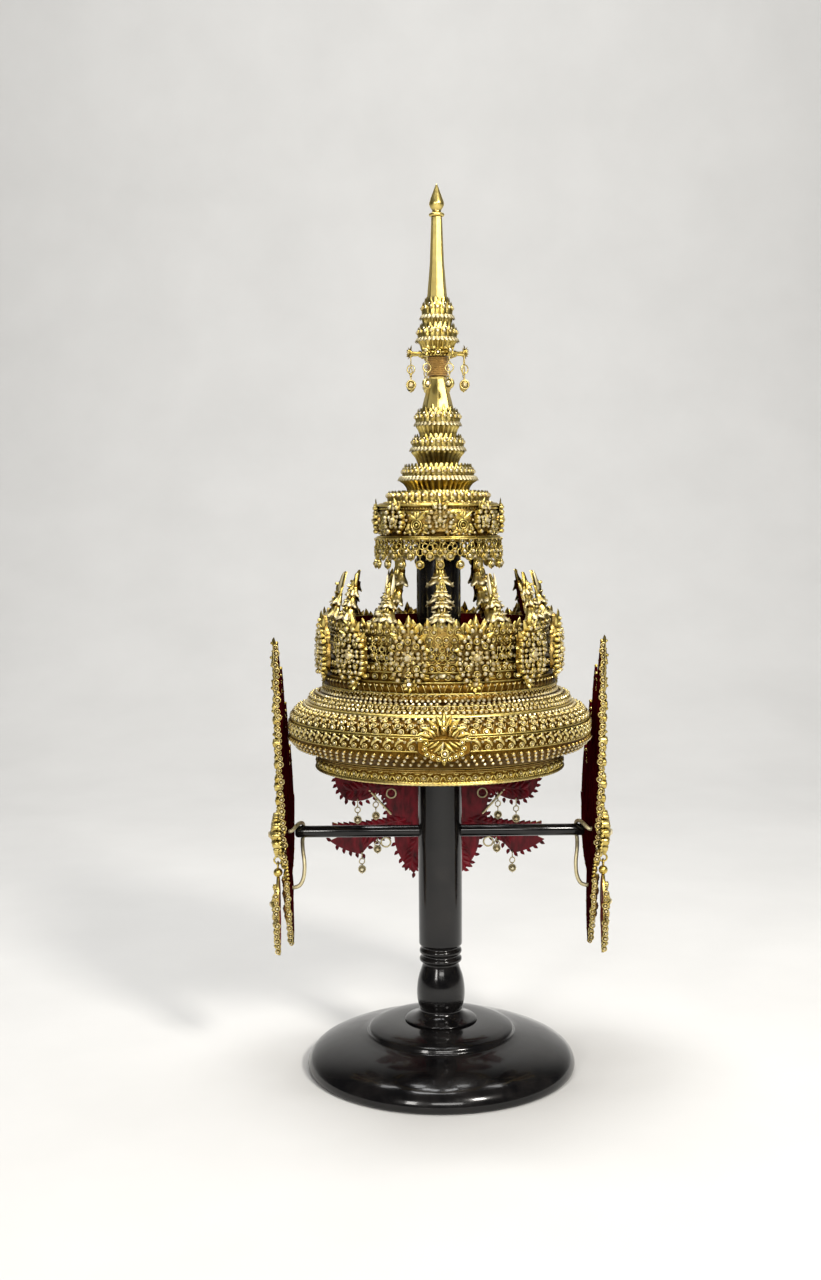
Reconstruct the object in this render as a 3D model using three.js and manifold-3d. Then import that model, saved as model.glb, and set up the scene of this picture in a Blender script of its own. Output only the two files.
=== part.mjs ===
// A gilded Thai spire headdress with its two ear ornaments and its nape plaque, on a turned stand.
// Units are millimetres, +Z is up and -Y is the front. The origin is the centre of the stand's foot.
import * as THREE from "three";
import { mergeVertices } from "three/addons/utils/BufferGeometryUtils.js";
import Module from "manifold-3d";

const wasm = await Module();
wasm.setup();

// Driving dimensions
const GAP = 0.3; // clearance between neighbouring pieces
const RING_SIDES = 24; // facets round the large rings, two to each crown panel
const PLATE = 2; // thickness of the cut ornament plates

const POST_RADIUS = 15.5;
const POST_SIDES = 16;
const BAR = { radius: 4.2, half: 103, height: 170.5, sides: 12 };

const PANEL = { count: 12, radius: 80.5, foot: 285, height: 45, plate: 4.4 };
const FINIAL = { count: 12, radius: 74.6, height: 36, lean: 15, plate: 3.4 };
const RIB = { count: 6, plate: 5, fullWidth: 17, leaves: 5 };
const DRUM = { panels: 8, wallRadius: 40.8, panelFoot: 380.6 };
const HOOP = { pendants: 20, radius: 43.6, wire: 0.8, height: 378.2, drop: 20.5 };
const WHEEL = { arms: 8, hubRadius: 13, armRadius: 20, low: 503.8, high: 507.4 };
const MEDALLION = { radius: 106.2, height: 249.5, lean: 14, plate: 2.4 };

const EAR = { inner: 107.5, plate: PLATE, relief: 3.2, flowerY: -14, flowerHeight: 172, dropX: 114.4 };
const EAR_LEAN = { angle: 2.15, height: 170 }; // the wings stand further out at the top
const EYE = { ring: 2.6, wire: 0.7, height: 153.2 };
const JUMP_RING = { ring: 2.4, wire: 0.6 };
const NAPE = { inner: 88.7, plate: PLATE };

// Materials
const gold = new THREE.MeshStandardMaterial({ color: 0xc9992e, metalness: 1, roughness: 0.3 });
const thread = new THREE.MeshStandardMaterial({ color: 0x8a5a16, metalness: 0.3, roughness: 0.6 });
const lacquer = new THREE.MeshStandardMaterial({ color: 0x0b0b0c, metalness: 0, roughness: 0.25 });

// Directions that a flat shape can be turned to: its width, its height and its thickness
const X = new THREE.Vector3(1, 0, 0);
const Y = new THREE.Vector3(0, 1, 0);
const Z = new THREE.Vector3(0, 0, 1);
const FACING_FRONT = new THREE.Matrix4().makeBasis(X, Z, Y.clone().negate());
const FACING_RIGHT = new THREE.Matrix4().makeBasis(Y, Z, X);
const FACING_BACK = new THREE.Matrix4().makeBasis(X.clone().negate(), Z, Y);

const degrees = THREE.MathUtils.degToRad;

// Solids and how they join

function toSolid(geometry) {
  const bare = new THREE.BufferGeometry();
  bare.setAttribute("position", geometry.getAttribute("position"));
  bare.setIndex(geometry.index);
  const merged = mergeVertices(bare, 1e-4);
  const corners = [];
  for (let i = 0; i < merged.index.count; i += 3) {
    const [a, b, c] = [0, 1, 2].map((k) => merged.index.getX(i + k));
    if (a !== b && b !== c && a !== c) corners.push(a, b, c);
  }
  const make = (order) =>
    new wasm.Manifold(
      new wasm.Mesh({
        numProp: 3,
        vertProperties: Float32Array.from(merged.getAttribute("position").array),
        triVerts: Uint32Array.from(order),
      }),
    );
  const solid = make(corners);
  return solid.volume() > 0 ? solid : make(corners.toReversed());
}

function toGeometry(solid) {
  const mesh = solid.getMesh();
  const geometry = new THREE.BufferGeometry();
  geometry.setAttribute("position", new THREE.BufferAttribute(Float32Array.from(mesh.vertProperties), 3));
  geometry.setIndex(new THREE.BufferAttribute(Uint32Array.from(mesh.triVerts), 1));
  return geometry;
}

const fuse = (...pieces) => toGeometry(pieces.map(toSolid).reduce((whole, piece) => whole.add(piece)));

const cut = (piece, tool) => toGeometry(toSolid(piece).subtract(toSolid(tool)));

// Turned forms: each row of a profile is a radius and a height. Where a row has a groove, every second side
// is that much nearer the axis, and where it has a dip, every second side is that much lower.

function turned(rows, sides) {
  const outline = rows.map(({ r, z }) => new THREE.Vector2(r, z));
  const geometry = new THREE.LatheGeometry(outline, sides);
  geometry.rotateX(Math.PI / 2);
  const position = geometry.getAttribute("position");
  for (let i = 0; i < position.count; i++) {
    const side = Math.floor(i / rows.length);
    const { r, z, groove = 0, dip = 0 } = rows[i % rows.length];
    const odd = side % 2;
    const angle = ((side % sides) / sides) * 2 * Math.PI;
    const radius = Math.max(r - odd * groove, 0);
    position.setXYZ(i, radius * Math.sin(angle), -radius * Math.cos(angle), z - odd * dip);
  }
  return fuse(geometry);
}

// A hollow ring: its outer and its plain inner rows, both from the foot to the top.
const hollowRing = (outer, inner) => turned([...outer, ...inner.toReversed(), outer[0]], RING_SIDES);

// Flat forms: an outline is a start and a table of curves, each with its end and its bending point.

function outline(start, curves) {
  const shape = new THREE.Shape();
  shape.moveTo(start.x, start.z);
  for (const { x, z, bendX, bendZ } of curves) {
    if (bendX === undefined) shape.lineTo(x, z);
    else shape.quadraticCurveTo(bendX, bendZ, x, z);
  }
  return shape;
}

// An outline that is the same on both sides: the curves of its right half, from its foot to its top.
function mirroredOutline(footHalf, curves) {
  const start = { x: footHalf, z: 0 };
  const ends = [start, ...curves];
  const left = curves.map((curve, i) => ({
    x: -ends[i].x,
    z: ends[i].z,
    bendX: curve.bendX === undefined ? undefined : -curve.bendX,
    bendZ: curve.bendZ,
  }));
  const top = ends.at(-1);
  const across = { x: -top.x, z: top.z };
  return outline(start, [...curves, ...(top.x > 0 ? [across] : []), ...left.reverse()]);
}

function rosette(petals, radius, valley) {
  const points = Array.from({ length: petals * 2 }, (_, i) => {
    const reach = i % 2 ? valley : radius;
    const angle = (i / (petals * 2)) * 2 * Math.PI;
    return new THREE.Vector2(reach * Math.sin(angle), reach * Math.cos(angle));
  });
  return new THREE.Shape(points);
}

function plate(shape, thickness, facing, curveSegments = 2) {
  const options = { depth: thickness, bevelEnabled: false, curveSegments };
  return new THREE.ExtrudeGeometry(shape, options).applyMatrix4(facing);
}

// A stone cut with a flat table and eight facets, its back at the origin and its table towards +Z.
const cutStone = (radius, height) =>
  new THREE.CylinderGeometry(0.55 * radius, radius, height, 8)
    .rotateX(Math.PI / 2)
    .translate(0, 0, height / 2);

// A wire along points chosen by hand.
function wire(points, radius, sides, steps) {
  const path = new THREE.CatmullRomCurve3(points.map(({ x, y, z }) => new THREE.Vector3(x, y, z)));
  const section = new THREE.Shape(
    Array.from({ length: sides }, (_, i) => {
      const angle = (i / sides) * 2 * Math.PI;
      return new THREE.Vector2(radius * Math.cos(angle), radius * Math.sin(angle));
    }),
  );
  return new THREE.ExtrudeGeometry(section, { extrudePath: path, steps, bevelEnabled: false });
}

// A straight rod between two points.
function rod(from, to, radius, sides) {
  const along = new THREE.Vector3().subVectors(to, from);
  const turn = new THREE.Quaternion().setFromUnitVectors(Y, along.clone().normalize());
  return new THREE.CylinderGeometry(radius, radius, along.length(), sides)
    .applyQuaternion(turn)
    .translate((from.x + to.x) / 2, (from.y + to.y) / 2, (from.z + to.z) / 2);
}

// A small drop on a short chain, which is a plain stem here. It hangs from the origin.
function pendant(length) {
  const drop = { radius: 2.5, height: 6 };
  const stem = 0.6;
  return turned(
    [
      { r: 0, z: -length },
      { r: drop.radius, z: 0.45 * drop.height - length },
      { r: stem, z: drop.height - length },
      { r: stem, z: 0.4 },
      { r: 0, z: 0.4 },
    ],
    6,
  );
}

// Pieces are meshes in nested groups

const root = new THREE.Group();
const stand = new THREE.Group();
const headdress = new THREE.Group();
root.add(stand, headdress);

function addPart(name, geometry, material, parent, turn = 0) {
  const mesh = new THREE.Mesh(geometry, material);
  mesh.name = name;
  mesh.rotation.z = turn;
  parent.add(mesh);
}

// Copies of one piece, evenly spaced about the axis from the front.
function addRound(name, count, offset, geometry, material, parent) {
  for (let i = 0; i < count; i++) {
    addPart(`${name}_${i + 1}`, geometry, material, parent, ((i + offset) / count) * 2 * Math.PI);
  }
}

// Stand: a turned base, a post that carries the headdress by the drum's roof, and a bar for the ear hooks

const POST_FOOT = 34;
const POST_TOP = 399.4;

function standBase() {
  return turned(
    [
      { r: 0, z: 0 },
      { r: 94.4, z: 0 },
      { r: 95.6, z: 3 },
      { r: 94.4, z: 8.5 },
      { r: 88, z: 15 },
      { r: 74, z: 21.5 },
      { r: 52, z: 25.5 },
      { r: 50.5, z: 29.5 },
      { r: 46, z: 31.5 },
      { r: 30, z: POST_FOOT },
      { r: 0, z: POST_FOOT },
    ],
    RING_SIDES,
  );
}

function standPost() {
  const post = turned(
    [
      { r: 0, z: POST_FOOT + GAP },
      { r: 26, z: POST_FOOT + GAP },
      { r: 18, z: 37.5 },
      { r: 14.4, z: 41.5 },
      { r: 16.8, z: 48 },
      { r: 17.2, z: 56 },
      { r: 15.4, z: 67 },
      { r: 12.6, z: 75 },
      { r: 15, z: 78 },
      { r: 13.2, z: 81 },
      { r: 15, z: 84 },
      { r: 13.4, z: 87 },
      { r: POST_RADIUS, z: 89.5 },
      { r: POST_RADIUS, z: 385 },
      { r: 11, z: 395.5 },
      { r: 0, z: POST_TOP },
    ],
    POST_SIDES,
  );
  const reach = POST_RADIUS + 1;
  const hole = rod(
    new THREE.Vector3(-reach, 0, BAR.height),
    new THREE.Vector3(reach, 0, BAR.height),
    BAR.radius + GAP,
    BAR.sides,
  );
  return cut(post, hole);
}

function standBar() {
  const chamfer = 1;
  const bar = turned(
    [
      { r: 0, z: -BAR.half },
      { r: BAR.radius - chamfer, z: -BAR.half },
      { r: BAR.radius, z: chamfer - BAR.half },
      { r: BAR.radius, z: BAR.half - chamfer },
      { r: BAR.radius - chamfer, z: BAR.half },
      { r: 0, z: BAR.half },
    ],
    BAR.sides,
  );
  return bar.rotateY(Math.PI / 2).translate(0, 0, BAR.height);
}

addPart("stand_base", standBase(), lacquer, stand);
addPart("stand_post", standPost(), lacquer, stand);
addPart("stand_bar", standBar(), lacquer, stand);

// Crown: four hollow rings, one above the other, that the head goes into

const BAND_TOP = 229;
const BRIM_TOP = 262.4;
const RIM_TOP = 271;
const WALL_TOP = 321;

function footBand() {
  const outer = [
    { r: 86, z: 217.7 },
    { r: 87.4, z: 219 },
    { r: 86.4, z: 220.4 },
    { r: 87, z: 226 },
    { r: 88.2, z: 227.3 },
    { r: 88.2, z: BAND_TOP },
  ];
  const inner = [
    { r: 83.8, z: 217.7 },
    { r: 84.4, z: BAND_TOP },
  ];
  return hollowRing(outer, inner);
}

function brim() {
  const outer = [
    { r: 88.2, z: BAND_TOP + GAP },
    { r: 92.6, z: 230.4 },
    { r: 102.4, z: 236 },
    { r: 105.2, z: 239.5 },
    { r: 106, z: 244.5 },
    { r: 105.2, z: 252 },
    { r: 101.8, z: 259 },
    { r: 97, z: 261.7 },
    { r: 91.8, z: BRIM_TOP },
  ];
  const inner = [
    { r: 84.4, z: BAND_TOP + GAP },
    { r: 92, z: 232.6 },
    { r: 103, z: 239.4 },
    { r: 103.8, z: 246 },
    { r: 99.6, z: 257.6 },
    { r: 89.6, z: BRIM_TOP - 2 },
  ];
  return hollowRing(outer, inner);
}

function upperRim() {
  const outer = [
    { r: 92.4, z: BRIM_TOP + GAP },
    { r: 93.6, z: 264 },
    { r: 91.6, z: 265.4 },
    { r: 91.2, z: 267.6 },
    { r: 88.2, z: 270.2 },
    { r: 82, z: RIM_TOP },
  ];
  const inner = [
    { r: 89.6, z: BRIM_TOP + GAP },
    { r: 88.8, z: 266.8 },
    { r: 79, z: RIM_TOP - 2 },
  ];
  return hollowRing(outer, inner);
}

function crownWall() {
  const outer = [
    { r: 81.6, z: RIM_TOP + GAP },
    { r: 82.2, z: 274 },
    { r: 80.6, z: 277.4 },
    { r: 81.8, z: 280.6 },
    { r: 80.6, z: 284 },
    { r: 77.6, z: 286 },
    { r: 77.6, z: 290 },
    { r: 80, z: 292 },
    { r: 80, z: 295.6 },
    { r: 76.8, z: 297 },
    { r: 76.4, z: WALL_TOP },
  ];
  const inner = [
    { r: 79, z: RIM_TOP + GAP },
    { r: 78, z: 282.6 },
    { r: 75, z: 285.4 },
    { r: 74, z: WALL_TOP },
  ];
  return hollowRing(outer, inner);
}

addPart("foot_band", footBand(), gold, headdress);
addPart("brim", brim(), gold, headdress);
addPart("upper_rim", upperRim(), gold, headdress);
addPart("crown_wall", crownWall(), gold, headdress);

// Front medallion: a lobed plate with a boss and a stone, lying against the brim's slope

function medallion() {
  const lobes = mirroredOutline(3, [
    { x: 11, z: 4, bendX: 10, bendZ: -1 },
    { x: 20, z: 12, bendX: 21, bendZ: 4 },
    { x: 15, z: 20, bendX: 21, bendZ: 18 },
    { x: 9, z: 25, bendX: 14, bendZ: 26 },
    { x: 0, z: 34, bendX: 3, bendZ: 27 },
  ]);
  const bossHeight = 15;
  const boss = plate(rosette(8, 9, 6.4), MEDALLION.plate + 2.4, FACING_FRONT).translate(0, 0, bossHeight);
  const stone = cutStone(4, 3)
    .rotateX(Math.PI / 2)
    .translate(0, -(MEDALLION.plate + 2), bossHeight);
  return fuse(plate(lobes, MEDALLION.plate, FACING_FRONT), boss, stone)
    .translate(0, 0, -bossHeight)
    .rotateX(degrees(-MEDALLION.lean))
    .translate(0, -MEDALLION.radius, MEDALLION.height);
}

addPart("front_medallion", medallion(), gold, headdress);

// Crown panels: pointed leaves with a rosette and a stone, standing round the wall

function crownPanel() {
  const leaf = mirroredOutline(6, [
    { x: 13.4, z: 10, bendX: 13, bendZ: 1 },
    { x: 11.6, z: 23, bendX: 13.6, bendZ: 17 },
    { x: 9.4, z: 32, bendX: 14, bendZ: 29 },
    { x: 0, z: PANEL.height, bendX: 3.4, bendZ: 34 },
  ]);
  const flowerHeight = 17;
  const flower = plate(rosette(8, 10, 7), PANEL.plate + 1.6, FACING_FRONT).translate(0, 0, flowerHeight);
  const stone = cutStone(3.6, 2.4)
    .rotateX(Math.PI / 2)
    .translate(0, -(PANEL.plate + 1.2), flowerHeight);
  const whole = fuse(plate(leaf, PANEL.plate, FACING_FRONT), flower, stone);
  return whole.translate(0, -PANEL.radius, PANEL.foot);
}

addRound("crown_panel", PANEL.count, 0.5, crownPanel(), gold, headdress);

// Finials: three-pointed leaves on the wall's edge between the panels, leaning inwards

function finial() {
  const leaf = mirroredOutline(3.6, [
    { x: 6.6, z: 8, bendX: 7, bendZ: 3 },
    { x: 4.4, z: 14, bendX: 6, bendZ: 12 },
    { x: 6.2, z: 25, bendX: 7, bendZ: 18 },
    { x: 2.6, z: 21, bendX: 3.6, bendZ: 23 },
    { x: 0, z: FINIAL.height, bendX: 2.2, bendZ: 30 },
  ]);
  const heel = (FINIAL.plate / 2) * Math.sin(degrees(FINIAL.lean));
  return plate(leaf, FINIAL.plate, FACING_FRONT)
    .translate(0, FINIAL.plate / 2, 0)
    .rotateX(degrees(-FINIAL.lean))
    .translate(0, -FINIAL.radius, WALL_TOP + heel + GAP);
}

addRound("finial", FINIAL.count, 0, finial(), gold, headdress);

// Ribs: strips of stacked leaves that rise from inside the wall to the drum

function rib() {
  const line = [
    { r: 71, z: 286 },
    { r: 70.2, z: 294 },
    { r: 64.4, z: 301.6 },
    { r: 55.4, z: 308.8 },
    { r: 46.6, z: 317.6 },
    { r: 39.2, z: 328.4 },
    { r: 33.8, z: 341 },
    { r: 31.4, z: 355 },
    { r: 32, z: 375.6 },
  ];
  const curve = new THREE.SplineCurve(line.map(({ r, z }) => new THREE.Vector2(r, z)));
  const steps = RIB.leaves * 3;
  const stations = Array.from({ length: steps + 1 }, (_, i) => curve.getPointAt(i / steps));
  const side = (reach) =>
    stations.map((point, i) => {
      const along = curve.getTangentAt(i / steps);
      return new THREE.Vector2(point.x - reach * along.y, point.y + reach * along.x);
    });
  const strip = new THREE.Shape([...side(RIB.plate / 2), ...side(-RIB.plate / 2).reverse()]);
  const geometry = new THREE.ExtrudeGeometry(strip, { depth: 2, bevelEnabled: false });
  // Each leaf is wide at its foot and narrow at its tip, and the strip narrows towards the drum.
  const corners = [...side(RIB.plate / 2), ...side(-RIB.plate / 2).reverse()];
  const position = geometry.getAttribute("position");
  for (let i = 0; i < position.count; i++) {
    const nearest = corners.findIndex(
      (corner) => Math.hypot(corner.x - position.getX(i), corner.y - position.getY(i)) < 1e-4,
    );
    const station = nearest <= steps ? nearest : 2 * steps + 1 - nearest;
    const taper = 1 - (0.3 * station) / steps;
    const leaf = 1 - 0.2 * (station % 3);
    position.setZ(i, (position.getZ(i) - 1) * 0.5 * RIB.fullWidth * taper * leaf);
  }
  const outwards = new THREE.Matrix4().makeBasis(Y.clone().negate(), Z, X.clone().negate());
  return fuse(geometry.applyMatrix4(outwards));
}

addRound("rib", RIB.count, 0, rib(), gold, headdress);

// Drum: a roofed ring with eight flower panels on its wall, and a curtain of drops on a wire

function drum() {
  const roof = { under: 399.8, top: 402.6 };
  const inside = DRUM.wallRadius - 2;
  const shell = turned(
    [
      { r: 0, z: roof.under },
      { r: inside, z: roof.under },
      { r: inside, z: 379 },
      { r: 30.2, z: 379 },
      { r: 30.2, z: 376 },
      { r: 42.4, z: 376 },
      { r: 42.4, z: 379.6 },
      { r: DRUM.wallRadius, z: 380.6 },
      { r: DRUM.wallRadius, z: 400 },
      { r: 42, z: 401 },
      { r: 41, z: roof.top },
      { r: 0, z: roof.top },
    ],
    DRUM.panels * 2,
  );
  const leaf = mirroredOutline(5, [
    { x: 13, z: 7, bendX: 12, bendZ: 0 },
    { x: 9.6, z: 17, bendX: 14.4, bendZ: 14 },
    { x: 0, z: 24, bendX: 4, bendZ: 18 },
  ]);
  const flowerHeight = 10;
  const panel = fuse(
    plate(leaf, 3, FACING_FRONT),
    plate(rosette(8, 7.4, 5.2), 4.6, FACING_FRONT).translate(0, 0, flowerHeight),
  ).translate(0, 0.6 - DRUM.wallRadius, DRUM.panelFoot);
  const panels = Array.from({ length: DRUM.panels }, (_, i) =>
    panel.clone().rotateZ((i / DRUM.panels) * 2 * Math.PI),
  );
  return fuse(shell, ...panels);
}

// The curtain: a hoop of wire round the drum's foot, with drops hanging all the way round.
function drumPendants() {
  const hoop = new THREE.TorusGeometry(HOOP.radius, HOOP.wire, 5, HOOP.pendants);
  hoop.translate(0, 0, HOOP.height);
  const drops = Array.from({ length: HOOP.pendants }, (_, i) =>
    pendant(HOOP.drop)
      .translate(0, -HOOP.radius, HOOP.height)
      .rotateZ((i / HOOP.pendants) * 2 * Math.PI),
  );
  return fuse(hoop, ...drops);
}

addPart("drum", drum(), gold, headdress);
addPart("drum_pendants", drumPendants(), gold, headdress);

// Spire: lotus tiers that narrow upwards. Each has a fluted cup, a bead round its lip and a row of leaves.

function lotusTier({ foot, footR, cupR, lip, lipR, leafR, leafTop, seat, sides }) {
  const flute = 0.12 * cupR;
  return turned(
    [
      { r: 0, z: foot },
      { r: footR, z: foot, groove: flute },
      { r: 0.7 * footR + 0.3 * cupR, z: foot + 0.55 * (lip - foot), groove: flute },
      { r: cupR, z: lip - 0.2 * (lip - foot), groove: 0.4 * flute },
      { r: lipR, z: lip },
      { r: leafR + 0.4, z: lip + 0.2 * (lip - foot) },
      { r: leafR, z: leafTop, dip: 0.75 * (leafTop - seat) },
      { r: leafR - 1.6, z: seat },
      { r: 0, z: seat },
    ],
    sides,
  );
}

const TIERS = [
  {
    ...{ name: "tier_large", sides: 24, foot: 409.4, lip: 420, seat: 424, leafTop: 429 },
    ...{ footR: 19.6, cupR: 25.4, lipR: 27.6, leafR: 23.6 },
  },
  {
    ...{ name: "tier_middle", sides: 20, foot: 424.3, lip: 440.4, seat: 445, leafTop: 449.4 },
    ...{ footR: 12.4, cupR: 17.4, lipR: 19.4, leafR: 16.6 },
  },
  {
    ...{ name: "tier_small", sides: 16, foot: 445.3, lip: 457.8, seat: 461, leafTop: 467 },
    ...{ footR: 11.4, cupR: 14.2, lipR: 16.2, leafR: 14.2 },
  },
  {
    ...{ name: "tier_neck", sides: 16, foot: 507.7, lip: 515.4, seat: 519.4, leafTop: 525.6 },
    ...{ footR: 10.4, cupR: 12.8, lipR: 14.8, leafR: 12.6 },
  },
  {
    ...{ name: "tier_top", sides: 12, foot: 519.7, lip: 531, seat: 535, leafTop: 543.4 },
    ...{ footR: 8.8, cupR: 9.8, lipR: 11.8, leafR: 10.4 },
  },
];

function shoulder() {
  return turned(
    [
      { r: 0, z: 402.9 },
      { r: 34.6, z: 402.9 },
      { r: 35, z: 404.6 },
      { r: 33.6, z: 411, dip: 4 },
      { r: 31.4, z: 405.6 },
      { r: 22, z: 409.1 },
      { r: 0, z: 409.1 },
    ],
    32,
  );
}

addPart("shoulder", shoulder(), gold, headdress);
for (const { name, ...sizes } of TIERS) addPart(name, lotusTier(sizes), gold, headdress);

function facetedCone(rows) {
  return turned([{ r: 0, z: rows[0].z }, ...rows, { r: 0, z: rows.at(-1).z }], 8);
}

function windingCore() {
  const turns = 4;
  const low = 490.3;
  const pitch = 3.25;
  const rows = Array.from({ length: turns }, (_, i) => [
    { r: 6.6, z: low + i * pitch },
    { r: 7.4, z: low + (i + 0.5) * pitch },
  ]).flat();
  const top = low + turns * pitch;
  return turned([{ r: 0, z: low }, ...rows, { r: 6.6, z: top }, { r: 0, z: top }], 10);
}

function pendantWheel() {
  const middle = (WHEEL.low + WHEEL.high) / 2;
  const hub = turned(
    [
      { r: 0, z: WHEEL.low },
      { r: 10.6, z: WHEEL.low },
      { r: WHEEL.hubRadius, z: middle, groove: 1.6 },
      { r: 10.6, z: WHEEL.high },
      { r: 0, z: WHEEL.high },
    ],
    WHEEL.arms * 2,
  );
  const arms = Array.from({ length: WHEEL.arms }, (_, i) => {
    const end = new THREE.Vector3(0, -WHEEL.armRadius, middle);
    const arm = rod(new THREE.Vector3(0, -10, middle), end, 0.9, 5);
    const flower = turned(
      [
        { r: 0, z: -2.2 },
        { r: 2.8, z: -0.6 },
        { r: 2, z: 1.6 },
        { r: 0, z: 2.6 },
      ],
      6,
    ).translate(end.x, end.y, end.z);
    const drop = pendant(26).translate(end.x, end.y, end.z);
    return fuse(arm, flower, drop).rotateZ(((i + 0.5) / WHEEL.arms) * 2 * Math.PI);
  });
  return fuse(hub, ...arms);
}

function bud() {
  return turned(
    [
      { r: 0, z: 598.9 },
      { r: 4.4, z: 598.9 },
      { r: 5.5, z: 600.4 },
      { r: 3, z: 602 },
      { r: 3.4, z: 603.6 },
      { r: 5.3, z: 607.4 },
      { r: 3, z: 614 },
      { r: 0, z: 621.2 },
    ],
    12,
  );
}

const CONE_ROWS = [
  { r: 12, z: 461.3 },
  { r: 9.4, z: 470 },
  { r: 5.4, z: 490 },
];
const SPIRE_ROWS = [
  { r: 8, z: 535.3 },
  { r: 6.6, z: 544 },
  { r: 4.6, z: 568 },
  { r: 3.7, z: 598.6 },
];

addPart("faceted_cone", facetedCone(CONE_ROWS), gold, headdress);
addPart("winding", windingCore(), thread, headdress);
addPart("pendant_wheel", pendantWheel(), gold, headdress);
addPart("spire", facetedCone(SPIRE_ROWS), gold, headdress);
addPart("bud", bud(), gold, headdress);

// Ear ornaments: a flame-shaped wing with a flower, a wire hook over the bar and a leaf drop that swings.
// They are drawn for the right side, and the left side is its mirror.

const leaned = (geometry) =>
  geometry
    .translate(-EAR.inner, 0, -EAR_LEAN.height)
    .rotateY(degrees(EAR_LEAN.angle))
    .translate(EAR.inner, 0, EAR_LEAN.height);

function earWing() {
  const flame = outline({ x: -9, z: 306 }, [
    { x: -24, z: 215, bendX: -21, bendZ: 266 },
    { x: -22, z: 152, bendX: -29, bendZ: 180 },
    { x: -14, z: 137, bendX: -17, bendZ: 146 },
    { x: -4, z: 91, bendX: -17, bendZ: 110 },
    { x: 15, z: 138, bendX: 12, bendZ: 108 },
    { x: 55, z: 163, bendX: 40, bendZ: 142 },
    { x: 56, z: 224, bendX: 68, bendZ: 194 },
    { x: 37, z: 213, bendX: 46, bendZ: 212 },
    { x: 37, z: 258, bendX: 46, bendZ: 234 },
    { x: 20, z: 243, bendX: 29, bendZ: 244 },
    { x: 15, z: 286, bendX: 26, bendZ: 264 },
    { x: 2, z: 270, bendX: 9, bendZ: 272 },
    { x: -9, z: 306, bendX: -1, bendZ: 288 },
  ]);
  const frontEdge = outline({ x: -23, z: 190 }, [
    { x: -10, z: 298, bendX: -23, bendZ: 250 },
    { x: -12, z: 190, bendX: -10, bendZ: 248 },
  ]);
  return leaned(
    fuse(
      plate(flame, EAR.plate, FACING_RIGHT, 3),
      plate(frontEdge, EAR.plate + EAR.relief, FACING_RIGHT),
    ).translate(EAR.inner, 0, 0),
  );
}

// The flower stands on a boss, and its eye hangs upright below it.
function earFlower() {
  const foot = EAR.inner + EAR.plate + GAP;
  const back = foot + 1.4;
  const boss = rod(new THREE.Vector3(foot, 0, 0), new THREE.Vector3(back + 1, 0, 0), 7, 8);
  const petals = plate(rosette(8, 16, 12), 5, FACING_RIGHT).translate(back, 0, 0);
  const heart = plate(rosette(8, 10, 7.4), 7, FACING_RIGHT).translate(back, 0, 0);
  const stone = cutStone(4.6, 3).applyMatrix4(FACING_RIGHT).translate(back + 6.4, 0, 0);
  const head = leaned(fuse(boss, petals, heart, stone).translate(0, EAR.flowerY, EAR.flowerHeight));
  const eye = new THREE.TorusGeometry(EYE.ring, EYE.wire, 5, 10)
    .rotateX(Math.PI / 2)
    .translate(EAR.dropX, EAR.flowerY, EYE.height);
  const lug = rod(
    new THREE.Vector3(back + 1, EAR.flowerY, EAR.flowerHeight - 14.2),
    new THREE.Vector3(EAR.dropX, EAR.flowerY, EYE.height + EYE.ring),
    0.9,
    5,
  );
  return fuse(head, lug, eye);
}

// The hook leaves the wing in front of the bar, passes over it and comes back to the wing below.
const HOOK_POINTS = [
  { x: 107.1, y: -9, z: 172.6 },
  { x: 104.6, y: -8.6, z: 173.2 },
  { x: 101.4, y: -5, z: 176 },
  { x: 99, y: 0, z: 176.8 },
  { x: 97.6, y: 5, z: 174.8 },
  { x: 97.4, y: 7.2, z: 169.5 },
  { x: 98.2, y: 5, z: 163 },
  { x: 97.6, y: 0, z: 156.5 },
  { x: 96.4, y: -3, z: 148 },
  { x: 97, y: -3.5, z: 139 },
  { x: 99.6, y: -3.5, z: 133 },
  { x: 103.2, y: -3.5, z: 131.2 },
  { x: 105.6, y: -3.5, z: 131 },
];

const earHook = () => wire(HOOK_POINTS, 1.4, 6, 20);

// The drop's ring passes through the flower's eye and hangs on the lowest point of its wire.
function earDrop() {
  const pivot = EYE.height - EYE.ring;
  const ringHeight = pivot - (JUMP_RING.ring - JUMP_RING.wire - EYE.wire - GAP);
  const ring = new THREE.TorusGeometry(JUMP_RING.ring, JUMP_RING.wire, 5, 10)
    .rotateY(Math.PI / 2)
    .translate(0, 0, ringHeight);
  const beadRadius = 3.2;
  const beadHeight = ringHeight - JUMP_RING.ring - beadRadius + GAP;
  const bead = new THREE.SphereGeometry(beadRadius, 10, 5).rotateX(Math.PI / 2).translate(0, 0, beadHeight);
  const leafTop = beadHeight - beadRadius + 0.8;
  const tip = 85;
  const leaf = outline({ x: 0, z: leafTop }, [
    { x: 9.4, z: 124, bendX: 8, bendZ: 138 },
    { x: 6.4, z: 116, bendX: 10, bendZ: 119 },
    { x: 8, z: 106, bendX: 9.4, bendZ: 111 },
    { x: 0, z: tip, bendX: 2.6, bendZ: 99 },
    { x: -8, z: 106, bendX: -2.6, bendZ: 99 },
    { x: -6.4, z: 116, bendX: -9.4, bendZ: 111 },
    { x: -9.4, z: 124, bendX: -10, bendZ: 119 },
    { x: 0, z: leafTop, bendX: -8, bendZ: 138 },
  ]);
  const blade = plate(leaf, PLATE, FACING_RIGHT).translate(-PLATE / 2, 0, 0);
  return fuse(ring, bead, blade).translate(EAR.dropX, EAR.flowerY, 0);
}

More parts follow.
